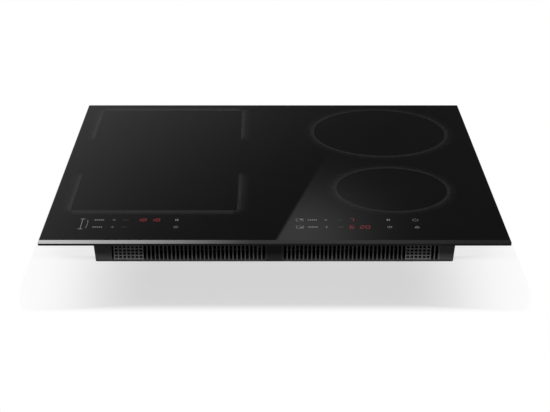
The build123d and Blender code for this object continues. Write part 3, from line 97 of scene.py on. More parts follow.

# Widths in millimetres over which the casing's shades and the painted highlight on its grid blend, and the
# shades as shares of its colour, the one inside the casing being painted shade
GRID_BLEND = 2.0
GRID_RISE = 1.0
FOOT_BLEND = 0.6
FLOOR_BLEND = (0.4, 1.2)
WALL_BLEND = (0.2, 0.6)
SIDE_BLEND = 0.5
FOOT_SHADE = 0.62
BLOCK_SHADE = 0.34
INSIDE_PAINTED_SHADE = 0.35
CASING_GRAIN = 0.45
CASING_RELIEF = (0.22, 0.04)
CASING_SPECKLE = 0.28
CASING_ROUGHNESS = (0.45, 0.65)
CASING_GLOSS = 0.04

# Circuit boards: tracks, lands and weave of the laminate, in millimetres
TRACK_FIELD = 26.0
TRACK_SHAPE = {"Mortar Size": 0.035, "Brick Width": 0.9, "Row Height": 0.22}
LAND_PITCH = 9.0
LAND_SCATTER = 0.35
LAND_EDGE = (0.16, 0.13)
LAND_TIN = (0.62, 0.61, 0.58)
TRACK_SHADE = 1.9
WEAVE = 0.8
BOARD_ROUGHNESS = (0.26, 0.4)
BOARD_RELIEF = (0.2, 0.03)

# Lit numbers: size of the unevenness in millimetres, how dim it gets, and the unlit display
NUMBER_GRAIN = 2.5
NUMBER_DIM = 0.75
NUMBER_BODY = (0.02, 0.002, 0.002, 1.0)
NUMBER_ROUGHNESS = 0.08

# Print on the glass: how far it stands proud, and how deep its solids reach into the glass
PRINT_PROUD = 0.03
PRINT_ROOT = 0.05

# Zone marks, in millimetres: the screen of dots and the sizes of its dots row by row, then the zones
DOT_PITCH = 1.6
DOT_SIDES = 6
DOT_STAGGER = 0.618
DOT_SCATTER = 0.9
DOT_LEAST = 0.35
CRISP_ROWS = 3
FADE_ROWS = (0.78, 0.84, 0.78, 0.56, 0.46, 0.4, 0.34, 0.29, 0.24)
TICK_ROWS = (0.92, 1.0, 0.92, 0.68, 0.56, 0.48, 0.41, 0.34, 0.28)
LINE_ROWS = (0.86, 0.96, 1.0, 1.0, 0.96, 0.86, 0.7, 0.54, 0.42, 0.32)
LARGE_ZONE = (159.8, 135.8, 99.3)
SMALL_ZONE = (160.0, -86.7, 75.6)
FLEX_LEFT = -268.5
FLEX_RIGHT = -48.4
FLEX_FRONT = -159.6
FLEX_REAR = 233.8
FLEX_CORNER = 4.0
FLEX_TICK = 133.0
FLEX_TICK_FADE = 14.0

# Touch signs, in millimetres: the two rows, the stroke width and the columns
ROW_REAR = -190.4
ROW_FRONT = -212.6
STROKE = 0.55
MITRE_LEAST = 0.3
FLEX_SIGN = (-250.5, -240.0, -219.0, -186.5)
ZONE_SIGN_X = 32.5
LEVELS_X = {"left": -232.0, "right": 43.0}
PLUS_X = {"left": -207.0, "right": 66.5}
MINUS_X = {"left": -192.0, "right": 84.5}
PAUSE_X = {"left": -126.0, "right": 147.0}
POWER_X = 182.0

# Numbers of the displays, in seven bars each
DIGIT_WIDTH = 4.7
DIGIT_HEIGHT = 8.4
DIGIT_BAR = 0.75
DIGIT_PITCH = 7.2
DIGIT_LEAN = 0.08
DIGIT_GAP = 0.22
DIGIT_BARS = {"0": "abcdef", "1": "bc", "2": "abged", "6": "acdefg", "7": "abc", "8": "abcdefg"}
BAR_ENDS = {
    "a": ((0, 2), (1, 2)), "b": ((1, 1), (1, 2)), "c": ((1, 0), (1, 1)), "d": ((0, 0), (1, 0)),
    "e": ((0, 0), (0, 1)), "f": ((0, 1), (0, 2)), "g": ((0, 1), (1, 1)),
}
NUMBERS = {
    "left": ((-171.8, ROW_REAR, "18"), (-154.3, ROW_REAR, "18")),
    "right": ((99.8, ROW_REAR, "7"), (99.0, ROW_FRONT, "6"), (115.5, ROW_FRONT, "20")),
}

# Windings of the coils: middle, straight runs, radius of the first turn and turns
WINDINGS = {
    "flex_rear": (-158.0, 135.375, 62.0, 35.75, 23.3, 14),
    "flex_front": (-158.0, -63.875, 62.0, 35.75, 23.3, 14),
    "large": (160.0, 133.8, 0.0, 0.0, 34.7, 17),
    "small": (160.0, -86.1, 0.0, 0.0, 28.7, 12),
}
WINDING_LEVEL = 44.1
WIRE_RADIUS = 1.3
WIRE_PITCH = 3.2
WIRE_LEAD = 2.6
STRANDS = 6
STRAND_LAY = 24.0
STRAND_GROOVE = 0.14
RING_SIDES = 18
RING_SPACING = 3.5
TURN_STEPS_LEAST = 6

# Floor, in millimetres: how far it shows itself lit to the camera, in front of the casing, at the sides and
# beside the casing's foot, and how far the shadow reaches past the glass, which is less at the sides
FLOOR_HALF = 30000.0
FLOOR_DROP = 0.2
SHADOW_GLOW = (0.37, 0.18)
SHADOW_GLOW_REACH = (222.0, 318.0)
SIDE_GLOW = 0.82
SIDE_GLOW_REACH = (150.0, 300.0)
CASING_GLOW = 0.8
CASING_GLOW_REACH = (212.0, 190.0)
SHADOW_REACH = (60.0, 92.0)
SIDE_FALL = 4.0
PAPER_SEEN = 0.98
PAPER_BOUNCE = 0.25

# Lamps: azimuth and elevation in degrees, distance, width and height in metres, radiance
LAMPS = {
    "rear_strip": (0.0, 30.5, 2.6, 5.0, 0.24, 26.0),
    "front_fill": (180.0, 34.0, 2.8, 2.4, 0.34, 21.5),
    "front_low": (180.0, 8.0, 2.8, 2.4, 0.6, 1.5),
}

# Room: the glass mirrors the cut edge of a panel behind, and the bevel mirrors a window on the left, both
# placed by points of the image. Four numbers are a span and the levels at its two ends
ROOM_RADIANCE = 0.038
DEPTH_LEAST = 0.05
PANEL_EDGE = ((275.8, 240.0), (314.8, 173.0))
PANEL_CUT = (-0.0004, 0.0016)
PANEL_PEAK = (295.0, 238.0)
PANEL_REACH = (0.056, 0.040)
PANEL_RADIANCE = 0.275
BEVEL_DROP = 1.2
BEVEL_DEPTH = 8.0
WINDOW_SPAN = ((250.0, 241.0), (45.0, 241.0))
WINDOW_POWER = 1.1
WINDOW_OUTER = (-0.44, -0.3)
WINDOW_AHEAD = (0.1, 0.2)
WINDOW_REACH = 0.1
WINDOW_RADIANCE = 5.2
WINDOW_TAIL = (0.215, 0.09, 0.0, 0.16)
WALL_KINK = 0.356
WALL_SLANT = (-0.19, -0.1, 0.62, 1.05)
WALL_SPAN = (0.12, -0.26)
WALL_POWER = 1.9
WALL_LEVEL = (0.0, 0.4, 0.0, 0.34)
CEILING_LEVEL = (0.5, 0.95, 0.0, 0.1)
FRONT_LEVEL = (0.1, -0.6, 0.0, 0.03)


# Nodes


def node(tree, kind, inputs=None, **settings):
    """Adds a node, sets its properties and sets or links its inputs."""
    made = tree.nodes.new(kind)
    for name, value in settings.items():
        setattr(made, name, value)
    for name, value in (inputs or {}).items():
        if isinstance(value, bpy.types.NodeSocket):
            tree.links.new(value, made.inputs[name])
        else:
            made.inputs[name].default_value = value
    return made


def maths(tree, operation, *values):
    """Output of a math node."""
    return node(tree, "ShaderNodeMath", dict(enumerate(values)), operation=operation).outputs[0]


def fold(tree, operation, first, *others):
    """Output of a math operation over any number of values, taken in turn."""
    for value in others:
        first = maths(tree, operation, first, value)
    return first


def remap(tree, value, from_low, from_high, to_low=0.0, to_high=1.0, smooth=False):
    """Output of a clamped map range."""
    return node(
        tree,
        "ShaderNodeMapRange",
        {"Value": value, "From Min": from_low, "From Max": from_high, "To Min": to_low, "To Max": to_high},
        interpolation_type="SMOOTHSTEP" if smooth else "LINEAR",
    ).outputs["Result"]


def ramp(tree, value, start, end, low=0.0, high=1.0, smooth=False):
    """Output of a clamped map range between two places in millimetres."""
    return remap(tree, value, start * MM, end * MM, low, high, smooth)


def between(tree, factor, first, second):
    """Value between two values or sockets."""
    inputs = {"Factor": factor, "A": first, "B": second}
    return node(tree, "ShaderNodeMix", inputs, data_type="FLOAT").outputs["Result"]


def mixed(tree, factor, first, second):
    """Colour between two colours or colour sockets."""
    made = node(tree, "ShaderNodeMix", {"Factor": factor}, data_type="RGBA")
    for socket, value in ((made.inputs[6], first), (made.inputs[7], second)):
        if isinstance(value, bpy.types.NodeSocket):
            tree.links.new(value, socket)
        else:
            socket.default_value = (*value, 1.0)
    return made.outputs[2]


def shade(colour, factor):
    """A colour made lighter or darker."""
    return tuple(min(1.0, channel * factor) for channel in colour)


def split(tree, vector):
    """Axes of a vector."""
    return node(tree, "ShaderNodeSeparateXYZ", {"Vector": vector}).outputs


def place(tree, stretch=(1, 1, 1)):
    """Object coordinates in metres, stretched along the axes."""
    coordinates = tree.nodes.new("ShaderNodeTexCoord").outputs["Object"]
    return node(tree, "ShaderNodeMapping", {"Vector": coordinates, "Scale": stretch}).outputs["Vector"]


def noise(tree, vector, size, detail=3.0):
    """Value of a noise texture whose features have a size in millimetres."""
    inputs = {"Vector": vector, "Scale": 1 / (size * MM), "Detail": detail, "Roughness": NOISE_ROUGHNESS}
    return node(tree, "ShaderNodeTexNoise", inputs).outputs["Fac"]


def grain_and_drift(tree, size, stretch=(1, 1, 1)):
    """Noise of a fine grain, and the same with a slow drift added."""
    fine = noise(tree, place(tree, stretch), size)
    drift = noise(tree, place(tree), DRIFT, 2.0)
    slow = maths(tree, "MULTIPLY", drift, 1 - FINE_SHARE)
    return fine, maths(tree, "ADD", maths(tree, "MULTIPLY", fine, FINE_SHARE), slow)


def bump(tree, height, strength, distance):
    """Normal from a height, with the distance in millimetres."""
    inputs = {"Height": height, "Strength": strength, "Distance": distance * MM}
    return node(tree, "ShaderNodeBump", inputs).outputs["Normal"]


def new_material(name):
    """A node material with its tree and its principled shader."""
    made = bpy.data.materials.new(name)
    made.use_nodes = True
    return made, made.node_tree, made.node_tree.nodes["Principled BSDF"]


# Materials


def grained(
    name,
    colour,
    roughness,
    grain,
    metallic=0.0,
    spread=0.18,
    relief=0.25,
    depth=0.05,
    stretch=(1, 1, 1),
    gloss=PLAIN_GLOSS,
):
    """Moulded, rolled or sintered surface: fine grain in its relief and gloss, slow drift in its colour."""
    made, tree, shader = new_material(name)
    fine, both = grain_and_drift(tree, grain, stretch)
    factor = remap(tree, both, *NOISE_SPAN)
    body = mixed(tree, factor, shade(colour, 1 - spread), shade(colour, 1 + spread))
    least, most = roughness * (1 - ROUGHNESS_SPREAD), roughness * (1 + ROUGHNESS_SPREAD)
    tree.links.new(body, shader.inputs["Base Color"])
    tree.links.new(remap(tree, both, *NOISE_SPAN, least, most), shader.inputs["Roughness"])
    tree.links.new(bump(tree, fine, relief, depth), shader.inputs["Normal"])
    shader.inputs["Metallic"].default_value = metallic
    shader.inputs["Specular IOR Level"].default_value = gloss
    return made


def black_glass(name):
    """Polished black glass-ceramic. Faces that lean or stand upright are the ground edges."""
    made, tree, shader = new_material(name)
    smear = noise(tree, place(tree), SMEAR, 4.0)
    lines = noise(tree, place(tree, GRINDING_STRETCH), GRINDING_LINE, 2.0)
    lean = split(tree, tree.nodes.new("ShaderNodeNewGeometry").outputs["Normal"])["Z"]
    ground = remap(tree, lean, *GRINDING_LEAN)
    polished = remap(tree, smear, *SMEAR_SPAN, *POLISHED_ROUGHNESS)
    worked = remap(tree, lines, *NOISE_SPAN, *GROUND_ROUGHNESS)
    tree.links.new(between(tree, ground, polished, worked), shader.inputs["Roughness"])
    body = mixed(tree, remap(tree, smear, *NOISE_SPAN), *GLASS_BODY)
    # Ground faces are paler, most on the leaning bevel: partly real frost of ground glass, partly a painted
    # glint
    frost_and_glint = mixed(tree, remap(tree, lean, *FROST_AND_GLINT_LEAN), *GLASS_FROST_AND_GLINT)
    tree.links.new(mixed(tree, ground, body, frost_and_glint), shader.inputs["Base Color"])
    edge_gloss = remap(tree, lean, *EDGE_GLOSS_LEAN, *EDGE_GLOSS)
    tree.links.new(between(tree, ground, PLAIN_GLOSS, edge_gloss), shader.inputs["Specular IOR Level"])
    scored = maths(tree, "MULTIPLY", lines, ground)
    tree.links.new(bump(tree, scored, *GRINDING_RELIEF), shader.inputs["Normal"])
    shader.inputs["IOR"].default_value = GLASS_IOR
    return made


def front_moulding(name, colour, grid_highlight_colour):
    """Fine-grained black moulding of the casing and its front vents.

    It is darker along the foot and on the plain block between the vents. Inside the casing it is darkened with
    painted shade, and where the square grid crosses the outer ribs of the vents it is paler with a painted
    highlight.
    """
    made, tree, shader = new_material(name)
    fine, grain = grain_and_drift(tree, CASING_GRAIN)
    axes = split(tree, place(tree))
    across = maths(tree, "ABSOLUTE", axes["X"])
    # Painted highlight: the colour turns paler where the square grid crosses the outer ribs
    grid = fold(
        tree,
        "MULTIPLY",
        ramp(tree, across, GRID_SPAN[0] - GRID_BLEND, GRID_SPAN[0]),
        ramp(tree, across, GRID_SPAN[1] + GRID_BLEND, GRID_SPAN[1]),
        ramp(tree, axes["Z"], GRID_FOOT, GRID_FOOT + GRID_RISE),
    )
    slope = maths(tree, "MULTIPLY_ADD", axes["Z"], math.tan(FRONT_DRAFT), axes["Y"])
    wall_front, wall_back = FRONT_FOOT + WALL_BLEND[0], FRONT_FOOT + WALL_BLEND[1]
    # Painted shade: the colour is darkened inside the casing, behind its front wall and slots
    inside = fold(
        tree,
        "MULTIPLY",
        ramp(tree, slope, wall_front, wall_back),
        ramp(tree, axes["Y"], INSIDE_REAR, INSIDE_REAR - SIDE_BLEND),
        ramp(tree, across, INSIDE_HALF, INSIDE_HALF - SIDE_BLEND),
        ramp(tree, axes["Z"], *FLOOR_BLEND),
    )
    ahead = ramp(tree, slope, wall_back, wall_front)
    block = ramp(tree, across, BLOCK_HALF + SIDE_BLEND, BLOCK_HALF - SIDE_BLEND)
    foot = ramp(tree, axes["Z"], GRID_FOOT + FOOT_BLEND, GRID_FOOT)
    body = mixed(tree, grid, colour, grid_highlight_colour)
    body = mixed(tree, foot, body, shade(colour, FOOT_SHADE))
    body = mixed(tree, maths(tree, "MULTIPLY", block, ahead), body, shade(colour, BLOCK_SHADE))
    body = mixed(tree, inside, body, shade(colour, INSIDE_PAINTED_SHADE))
    speckle = remap(tree, grain, *NOISE_SPAN, CASING_SPECKLE, 0.0)
    tree.links.new(mixed(tree, speckle, body, (0.0, 0.0, 0.0)), shader.inputs["Base Color"])
    tree.links.new(remap(tree, grain, *NOISE_SPAN, *CASING_ROUGHNESS), shader.inputs["Roughness"])
    tree.links.new(bump(tree, fine, *CASING_RELIEF), shader.inputs["Normal"])
    shader.inputs["Specular IOR Level"].default_value = CASING_GLOSS
    return made


def circuit_board(name, colour):
    """Glass laminate with a solder resist over copper tracks, and tinned lands."""
    made, tree, shader = new_material(name)
    vector = place(tree)
    bricks = {"Vector": vector, "Scale": 1 / (TRACK_FIELD * MM), **TRACK_SHAPE}
    tracks = node(tree, "ShaderNodeTexBrick", bricks).outputs["Fac"]
    cells = {"Vector": vector, "Scale": 1 / (LAND_PITCH * MM), "Randomness": LAND_SCATTER}
    land = remap(tree, node(tree, "ShaderNodeTexVoronoi", cells).outputs["Distance"], *LAND_EDGE)
    resist = mixed(tree, tracks, colour, shade(colour, TRACK_SHADE))
    tree.links.new(mixed(tree, land, resist, LAND_TIN), shader.inputs["Base Color"])
    tree.links.new(land, shader.inputs["Metallic"])
    weave = noise(tree, vector, WEAVE)
    tree.links.new(remap(tree, weave, *NOISE_SPAN, *BOARD_ROUGHNESS), shader.inputs["Roughness"])
    tree.links.new(bump(tree, maths(tree, "ADD", tracks, land), *BOARD_RELIEF), shader.inputs["Normal"])
    return made


def lit_number(name, colour):
    """Red light of a number display behind dark glass, a little uneven along its bars."""
    made, tree, shader = new_material(name)
    uneven = noise(tree, place(tree), NUMBER_GRAIN, 2.0)
    tree.links.new(mixed(tree, uneven, shade(colour, NUMBER_DIM), colour), shader.inputs["Emission Color"])
    shader.inputs["Emission Strength"].default_value = 1.0
    shader.inputs["Base Color"].default_value = NUMBER_BODY
    shader.inputs["Roughness"].default_value = NUMBER_ROUGHNESS
    return made


SLOT_MATERIALS = {
    "black_glass": black_glass("black_glass_ceramic"),
    "seal_foam": grained(
        "closed_cell_foam", (0.03, 0.03, 0.031), 0.88, 0.5, spread=0.3, relief=0.6, depth=0.2
    ),
    "silicone_bead": grained("cured_silicone", (0.12, 0.12, 0.12), 0.42, 3.0, relief=0.2, depth=0.1),
    "tray_steel": grained("black_coated_sheet", (0.035, 0.035, 0.036), 0.42, 0.9, relief=0.12, depth=0.03),
    "casing_plastic": front_moulding("casing_moulding", (0.072, 0.071, 0.072), (0.072, 0.071, 0.072)),
    "screw_steel": grained(
        "plated_screw", (0.62, 0.62, 0.61), 0.3, 0.3, metallic=1.0, relief=0.1, depth=0.02, stretch=(1, 1, 4)
    ),
    "plate_aluminium": grained(
        "rolled_aluminium", (0.75, 0.76, 0.77), 0.34, 0.5,
        metallic=1.0, spread=0.08, depth=0.01, stretch=(1, 0.02, 1),
    ),
    "buffer_silicone": grained("soft_silicone", (0.6, 0.6, 0.58), 0.5, 0.8, spread=0.08, relief=0.15),
    "former_plastic": grained("glass_filled_moulding", (0.08, 0.08, 0.085), 0.55, 0.35, stretch=(1, 0.3, 1)),
    "litz_copper": grained(
        "enamelled_copper", (0.72, 0.34, 0.16), 0.27, 0.6, metallic=1.0, spread=0.22, relief=0.2, depth=0.03
    ),
    "ferrite": grained(
        "sintered_ferrite", (0.06, 0.06, 0.065), 0.62, 0.25, spread=0.35, relief=0.4, depth=0.03
    ),
    "mica": grained("mica_sheet", (0.7, 0.66, 0.55), 0.32, 4.0, spread=0.2, relief=0.12, stretch=(1, 1, 12)),
    "carrier_plastic": grained("satin_moulding", (0.1, 0.1, 0.105), 0.48, 0.5),
    "board_laminate": circuit_board("circuit_board", (0.006, 0.012, 0.009)),
    "pad_foam": grained(
        "conductive_foam", (0.07, 0.07, 0.072), 0.85, 0.4, spread=0.35, relief=0.6, depth=0.15
    ),
    "display_red": grained("display_body", (0.05, 0.01, 0.01), 0.14, 2.0, relief=0.05, depth=0.01),
    "cable_jacket": grained(
        "wire_jacket", (0.006, 0.006, 0.0062), 0.6, 1.2, relief=0.15, depth=0.04, gloss=0.1
    ),
    "sink_aluminium": grained(
        "anodised_aluminium", (0.03, 0.03, 0.031), 0.4, 0.4,
        metallic=0.3, spread=0.2, depth=0.02, stretch=(1, 0.015, 1),
    ),
    "device_epoxy": grained("moulded_epoxy", (0.03, 0.03, 0.03), 0.5, 0.25, spread=0.25),
    "capacitor_case": grained("capacitor_box", (0.72, 0.55, 0.1), 0.32, 1.5, spread=0.08, relief=0.1),
    "fan_plastic": grained("fan_moulding", (0.03, 0.03, 0.032), 0.46, 0.5),
    "bush_bronze": grained("turned_bronze", (0.7, 0.48, 0.24), 0.3, 0.3, metallic=1.0, stretch=(0.2, 0.2, 6)),
    "stator_steel": grained(
        "stacked_laminations", (0.25, 0.25, 0.26), 0.4, 0.5,
        metallic=0.6, relief=0.5, depth=0.1, stretch=(0.05, 0.05, 1),
    ),
    "terminal_plastic": grained("terminal_moulding", (0.025, 0.025, 0.026), 0.46, 0.6),
    "block_plastic": grained("pale_moulding", (0.75, 0.75, 0.73), 0.4, 0.8, spread=0.05, relief=0.15),
}
for cad_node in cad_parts.values():
    for material_slot in cad_node.material_slots:
        material_slot.material = SLOT_MATERIALS[material_slot.material.name]
# The vents get a paler copy of the casing moulding as a painted highlight on the ribs, and a paler still
# painted highlight on the grid
vents = front_moulding("vent_moulding_painted_highlight", (0.118, 0.115, 0.116), (0.18, 0.177, 0.178))
for side in ("left", "right"):
    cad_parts[f"vent_grille_{side}"].material_slots[0].material = vents

mark_print = grained("zone_print", (0.07, 0.07, 0.072), 0.03, 0.2, spread=0.25, relief=0.1, depth=0.001)
sign_print = grained("sign_print", (0.245, 0.245, 0.249), 0.03, 0.2, spread=0.12, relief=0.1, depth=0.001)
number_light = lit_number("number_light", (0.315, 0.036, 0.045))


# Meshes and outlines


def linked(name, points, faces, material):
    """An object of a new mesh, in the scene."""
    mesh = bpy.data.meshes.new(name)
    mesh.from_pydata(points, [], faces)
    mesh.materials.append(material)
    made = bpy.data.objects.new(name, mesh)
    bpy.context.scene.collection.objects.link(made)
    return made


def rectangle(left, front, right, rear):
    """Outline of an upright rectangle."""
    return [(left, front), (right, front), (right, rear), (left, rear)]


def disc(x, y, radius, sides=24):
    """Outline of a disc."""
    angles = [2 * math.pi * step / sides for step in range(sides)]
    return [(x + radius * math.cos(angle), y + radius * math.sin(angle)) for angle in angles]


def stroke(points, width=STROKE):
    """Outline of an open line with mitred corners."""
    path = [Vector(point) for point in points]
    sides = []
    for index, point in enumerate(path):
        before = (point - path[index - 1]).normalized() if index else None
        after = (path[index + 1] - point).normalized() if index + 1 < len(path) else None
        along = ((before or after) + (after or before)).normalized()
        across = Vector((-along.y, along.x))
        reach = width / 2 / max(MITRE_LEAST, along.dot(after or before))
        sides.append((point + across * reach, point - across * reach))
    return [tuple(left) for left, right in reversed(sides)] + [tuple(right) for left, right in sides]


def arc(x, y, radius, start, end, steps=28):
    """Points on an arc, in degrees."""
    angles = [math.radians(start + (end - start) * step / steps) for step in range(steps + 1)]
    return [(x + radius * math.cos(angle), y + radius * math.sin(angle)) for angle in angles]


def on_glass(name, outlines, material):
    """One piece of thin closed solids that stand on the top of the glass."""
    low = glass_high.z - PRINT_ROOT * MM
    high = glass_high.z + PRINT_PROUD * MM
    points, faces = [], []
    for outline in outlines:
        start, count = len(points), len(outline)
        points += [(x * MM, y * MM, low) for x, y in outline]
        points += [(x * MM, y * MM, high) for x, y in outline]
        faces.append([start + count + step for step in range(count)])
        faces.append([start + step for step in reversed(range(count))])
        for step in range(count):
            after = (step + 1) % count
            faces.append([start + step, start + after, start + count + after, start + count + step])
    made = linked(name, points, faces, material)
    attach(made, "hob")


# Zone marks


def dot_reach(row, step):
    """Distance of a dot from the edge of its mark, scattered in the outer rows, which read as a fade."""
    scatter = 0.0 if row < CRISP_ROWS else (step * DOT_STAGGER % 1 - 0.5) * DOT_SCATTER
    return row * DOT_PITCH + scatter


def arc_dots(x, y, inner, start, turn, first, stagger):
    """Screen of dots along an arc, dense at its inner edge and thinning outwards."""
    outlines = []
    for row, size in enumerate(FADE_ROWS):
        count = round(turn * (inner + row * DOT_PITCH) / DOT_PITCH)
        for step in range(count):
            angle = start + turn * (step + first + row * stagger) / count
            radius = inner + dot_reach(row, step)
            dot_x, dot_y = x + radius * math.cos(angle), y + radius * math.sin(angle)
            outlines.append(disc(dot_x, dot_y, size / 2, DOT_SIDES))
    return outlines


def ring_dots(x, y, inner):
    """Screen of dots around a round zone."""
    return arc_dots(x, y, inner, 0.0, 2 * math.pi, 0.0, DOT_STAGGER)


def corner_dots(x, y, start):
    """Screen of dots around a quarter turn between two straight marks."""
    return arc_dots(x, y, FLEX_CORNER, start, math.pi / 2, 0.5, 0.0)


def line_dots(start, end, outward, rows, fade_end=0.0):
    """Screen of dots along a straight mark, thinning outwards, and towards its end if it fades there."""
    start, end, outward = Vector(start), Vector(end), Vector(outward)
    length = (end - start).length
    along = (end - start) / length
    count = int(length / DOT_PITCH)
    outlines = []
    for row, size in enumerate(rows):
        for step in range(count):
            travel = (step + row * DOT_STAGGER % 1) * DOT_PITCH
            left = 1.0 if fade_end == 0 else min(1.0, (length - travel) / fade_end)
            spot = start + along * travel + outward * dot_reach(row, step)
            radius = size / 2 * (DOT_LEAST + (1 - DOT_LEAST) * left)
            outlines.append(disc(spot.x, spot.y, radius, DOT_SIDES))
    return outlines


on_glass("zone_mark_large", ring_dots(*LARGE_ZONE), mark_print)
on_glass("zone_mark_small", ring_dots(*SMALL_ZONE), mark_print)

flex_dots = []
for side_y, out_y in ((FLEX_FRONT, -1), (FLEX_REAR, 1)):
    line_start, line_end = (FLEX_LEFT + FLEX_CORNER, side_y), (FLEX_RIGHT - FLEX_CORNER, side_y)
    flex_dots += line_dots(line_start, line_end, (0, out_y), LINE_ROWS)
    for side_x, out_x in ((FLEX_LEFT, -1), (FLEX_RIGHT, 1)):
        tick_start = side_y - out_y * FLEX_CORNER
        tick_end = (side_x, side_y - out_y * FLEX_TICK)
        flex_dots += line_dots((side_x, tick_start), tick_end, (out_x, 0), TICK_ROWS, FLEX_TICK_FADE)
        quarter = math.atan2(out_y, out_x) - math.pi / 4
        flex_dots += corner_dots(side_x - out_x * FLEX_CORNER, tick_start, quarter)
on_glass("zone_mark_flex", flex_dots, mark_print)


# Touch signs


def plus_sign(x, y, size=5.0):
    """Plus of two crossing bars, in one outline."""
    half, thick = size / 2, STROKE / 2
    return [
        [
            (x - half, y - thick), (x - thick, y - thick), (x - thick, y - half), (x + thick, y - half),
            (x + thick, y - thick), (x + half, y - thick), (x + half, y + thick), (x + thick, y + thick),
            (x + thick, y + half), (x - thick, y + half), (x - thick, y + thick), (x - half, y + thick),
        ]
    ]


def minus_sign(x, y, size=7.0):
    """Minus bar, thinner than the other strokes."""
    return [rectangle(x - size / 2, y - STROKE / 5, x + size / 2, y + STROKE / 5)]


def level_bars(left, y, width=13.0, bars=5, height=2.8, share=0.55):
    """Row of short upright bars, as a scale of levels."""
    pitch = width / bars
    return [
        rectangle(left + bar * pitch, y - height / 2, left + (bar + share) * pitch, y + height / 2)
        for bar in range(bars)
    ]


def flex_sign(left, right, front, rear):
    """Joined zone: an upright bar with bold feet and, apart from it, a shorter bowed line."""
    stem = left + (right - left) * 0.28
    thick = STROKE * 0.7
    foot = STROKE * 2.5
    rise = (rear - front) * 0.4
    bow = (right - left) * 0.1
    radius = (rise * rise + bow * bow) / (2 * bow)
    half_angle = math.degrees(math.asin(rise / radius))
    return [
        rectangle(left, rear - foot, stem * 2 - left, rear),
        rectangle(stem - thick, front + foot, stem + thick, rear - foot),
        rectangle(left, front, stem * 2 - left, front + foot),
        stroke(arc(right - radius, (front + rear) / 2, radius, -half_angle, half_angle)),
    ]


def zone_sign(x, y, spot_y):
    """Small plan of the cooktop with one zone filled."""
    wide, deep, thick = 4.4, 3.6, STROKE * 0.8
    spot, spot_right, spot_off = 1.3, wide * 0.42, deep * 0.45
    frame_line = [(x - wide, y + deep), (x - wide, y - deep), (x + wide, y - deep), (x + wide, y + deep)]
    return [
        stroke(frame_line, thick),
        rectangle(x - wide + STROKE / 2, y + deep - thick, x + wide - STROKE / 2, y + deep),
        disc(x + spot_right, y + spot_y * spot_off, spot),
    ]


def pause_sign(x, y):
    """Two upright bars."""
    inner, outer, half = 0.6, 1.9, 2.6
    return [
        rectangle(x - outer, y - half, x - inner, y + half),
        rectangle(x + inner, y - half, x + outer, y + half),
    ]


def clock_sign(x, y):
    """Dial in two halves, with two hands."""
    radius, gap, long_hand, short_hand = 2.7, 2, 1.8, 1.3
    return [
        stroke(arc(x, y, radius, 90 + gap, 270 - gap)),
        stroke(arc(x, y, radius, 270 + gap, 450 - gap)),
        stroke([(x, y + long_hand), (x, y), (x + short_hand, y)]),
    ]


def power_sign(x, y):
    """Open ring with a bar in its gap."""
    radius, opening, bar_low, bar_high = 3.6, 35, 0.6, 4.4
    return [
        stroke(arc(x, y, radius, 90 + opening, 450 - opening)),
        rectangle(x - STROKE / 2, y + bar_low, x + STROKE / 2, y + bar_high),
    ]


def lock_sign(x, y):
    """Padlock: a line around its body, with the keyhole, and a bow."""
    half, low, high = 2.4, y - 3.2, y + 0.4
    bow, bow_steps, margin = 1.6, 14, 1.1
    return [
        stroke([(x - half, high), (x - half, low), (x + half, low), (x + half, high)]),
        rectangle(x - half + STROKE / 2, high - STROKE, x + half - STROKE / 2, high),
        stroke(arc(x, high, bow, 0, 180, bow_steps)),
        rectangle(x - STROKE / 2, low + margin, x + STROKE / 2, high - margin),
    ]


signs = {"left": flex_sign(*FLEX_SIGN), "right": []}
for row_y, zone_spot in ((ROW_REAR, 1), (ROW_FRONT, -1)):
    signs["right"] += zone_sign(ZONE_SIGN_X, row_y, zone_spot)
    for side, outlines in signs.items():
        outlines += level_bars(LEVELS_X[side], row_y)
        outlines += plus_sign(PLUS_X[side], row_y) + minus_sign(MINUS_X[side], row_y)
for side, outlines in signs.items():
    outlines += pause_sign(PAUSE_X[side], ROW_REAR) + clock_sign(PAUSE_X[side], ROW_FRONT)
signs["right"] += power_sign(POWER_X, ROW_REAR) + lock_sign(POWER_X, ROW_FRONT)
for side, outlines in signs.items():
    on_glass(f"touch_signs_{side}", outlines, sign_print)


# Numbers


def digit(x, y, figure):
    """Bars of one figure, pointed at both ends and leaning a little to the right."""
    outlines = []
    for bar in DIGIT_BARS[figure]:
        first, last = (
            Vector(((column - 0.5) * DIGIT_WIDTH, (row - 1) * DIGIT_HEIGHT / 2))
            for column, row in BAR_ENDS[bar]
        )
        along = (last - first).normalized()
        across = Vector((-along.y, along.x)) * DIGIT_BAR / 2
        tip = along * DIGIT_GAP
        neck = along * (DIGIT_GAP + DIGIT_BAR / 2)
        corners = [
            first + tip, first + neck - across, last - neck - across,
            last - tip, last - neck + across, first + neck + across,
        ]
        outlines.append([(x + corner.x + DIGIT_LEAN * corner.y, y + corner.y) for corner in corners])
    return outlines


def number(x, y, figures):
    """Figures of one number around its middle."""
    outlines = []
    for index, figure in enumerate(figures):
        outlines += digit(x + (index - (len(figures) - 1) / 2) * DIGIT_PITCH, y, figure)
    return outlines


for side, side_numbers in NUMBERS.items():
    bars = [bar for values in side_numbers for bar in number(*values)]
    on_glass(f"numbers_{side}", bars, number_light)


# Windings: litz wire whose twisted bundles show


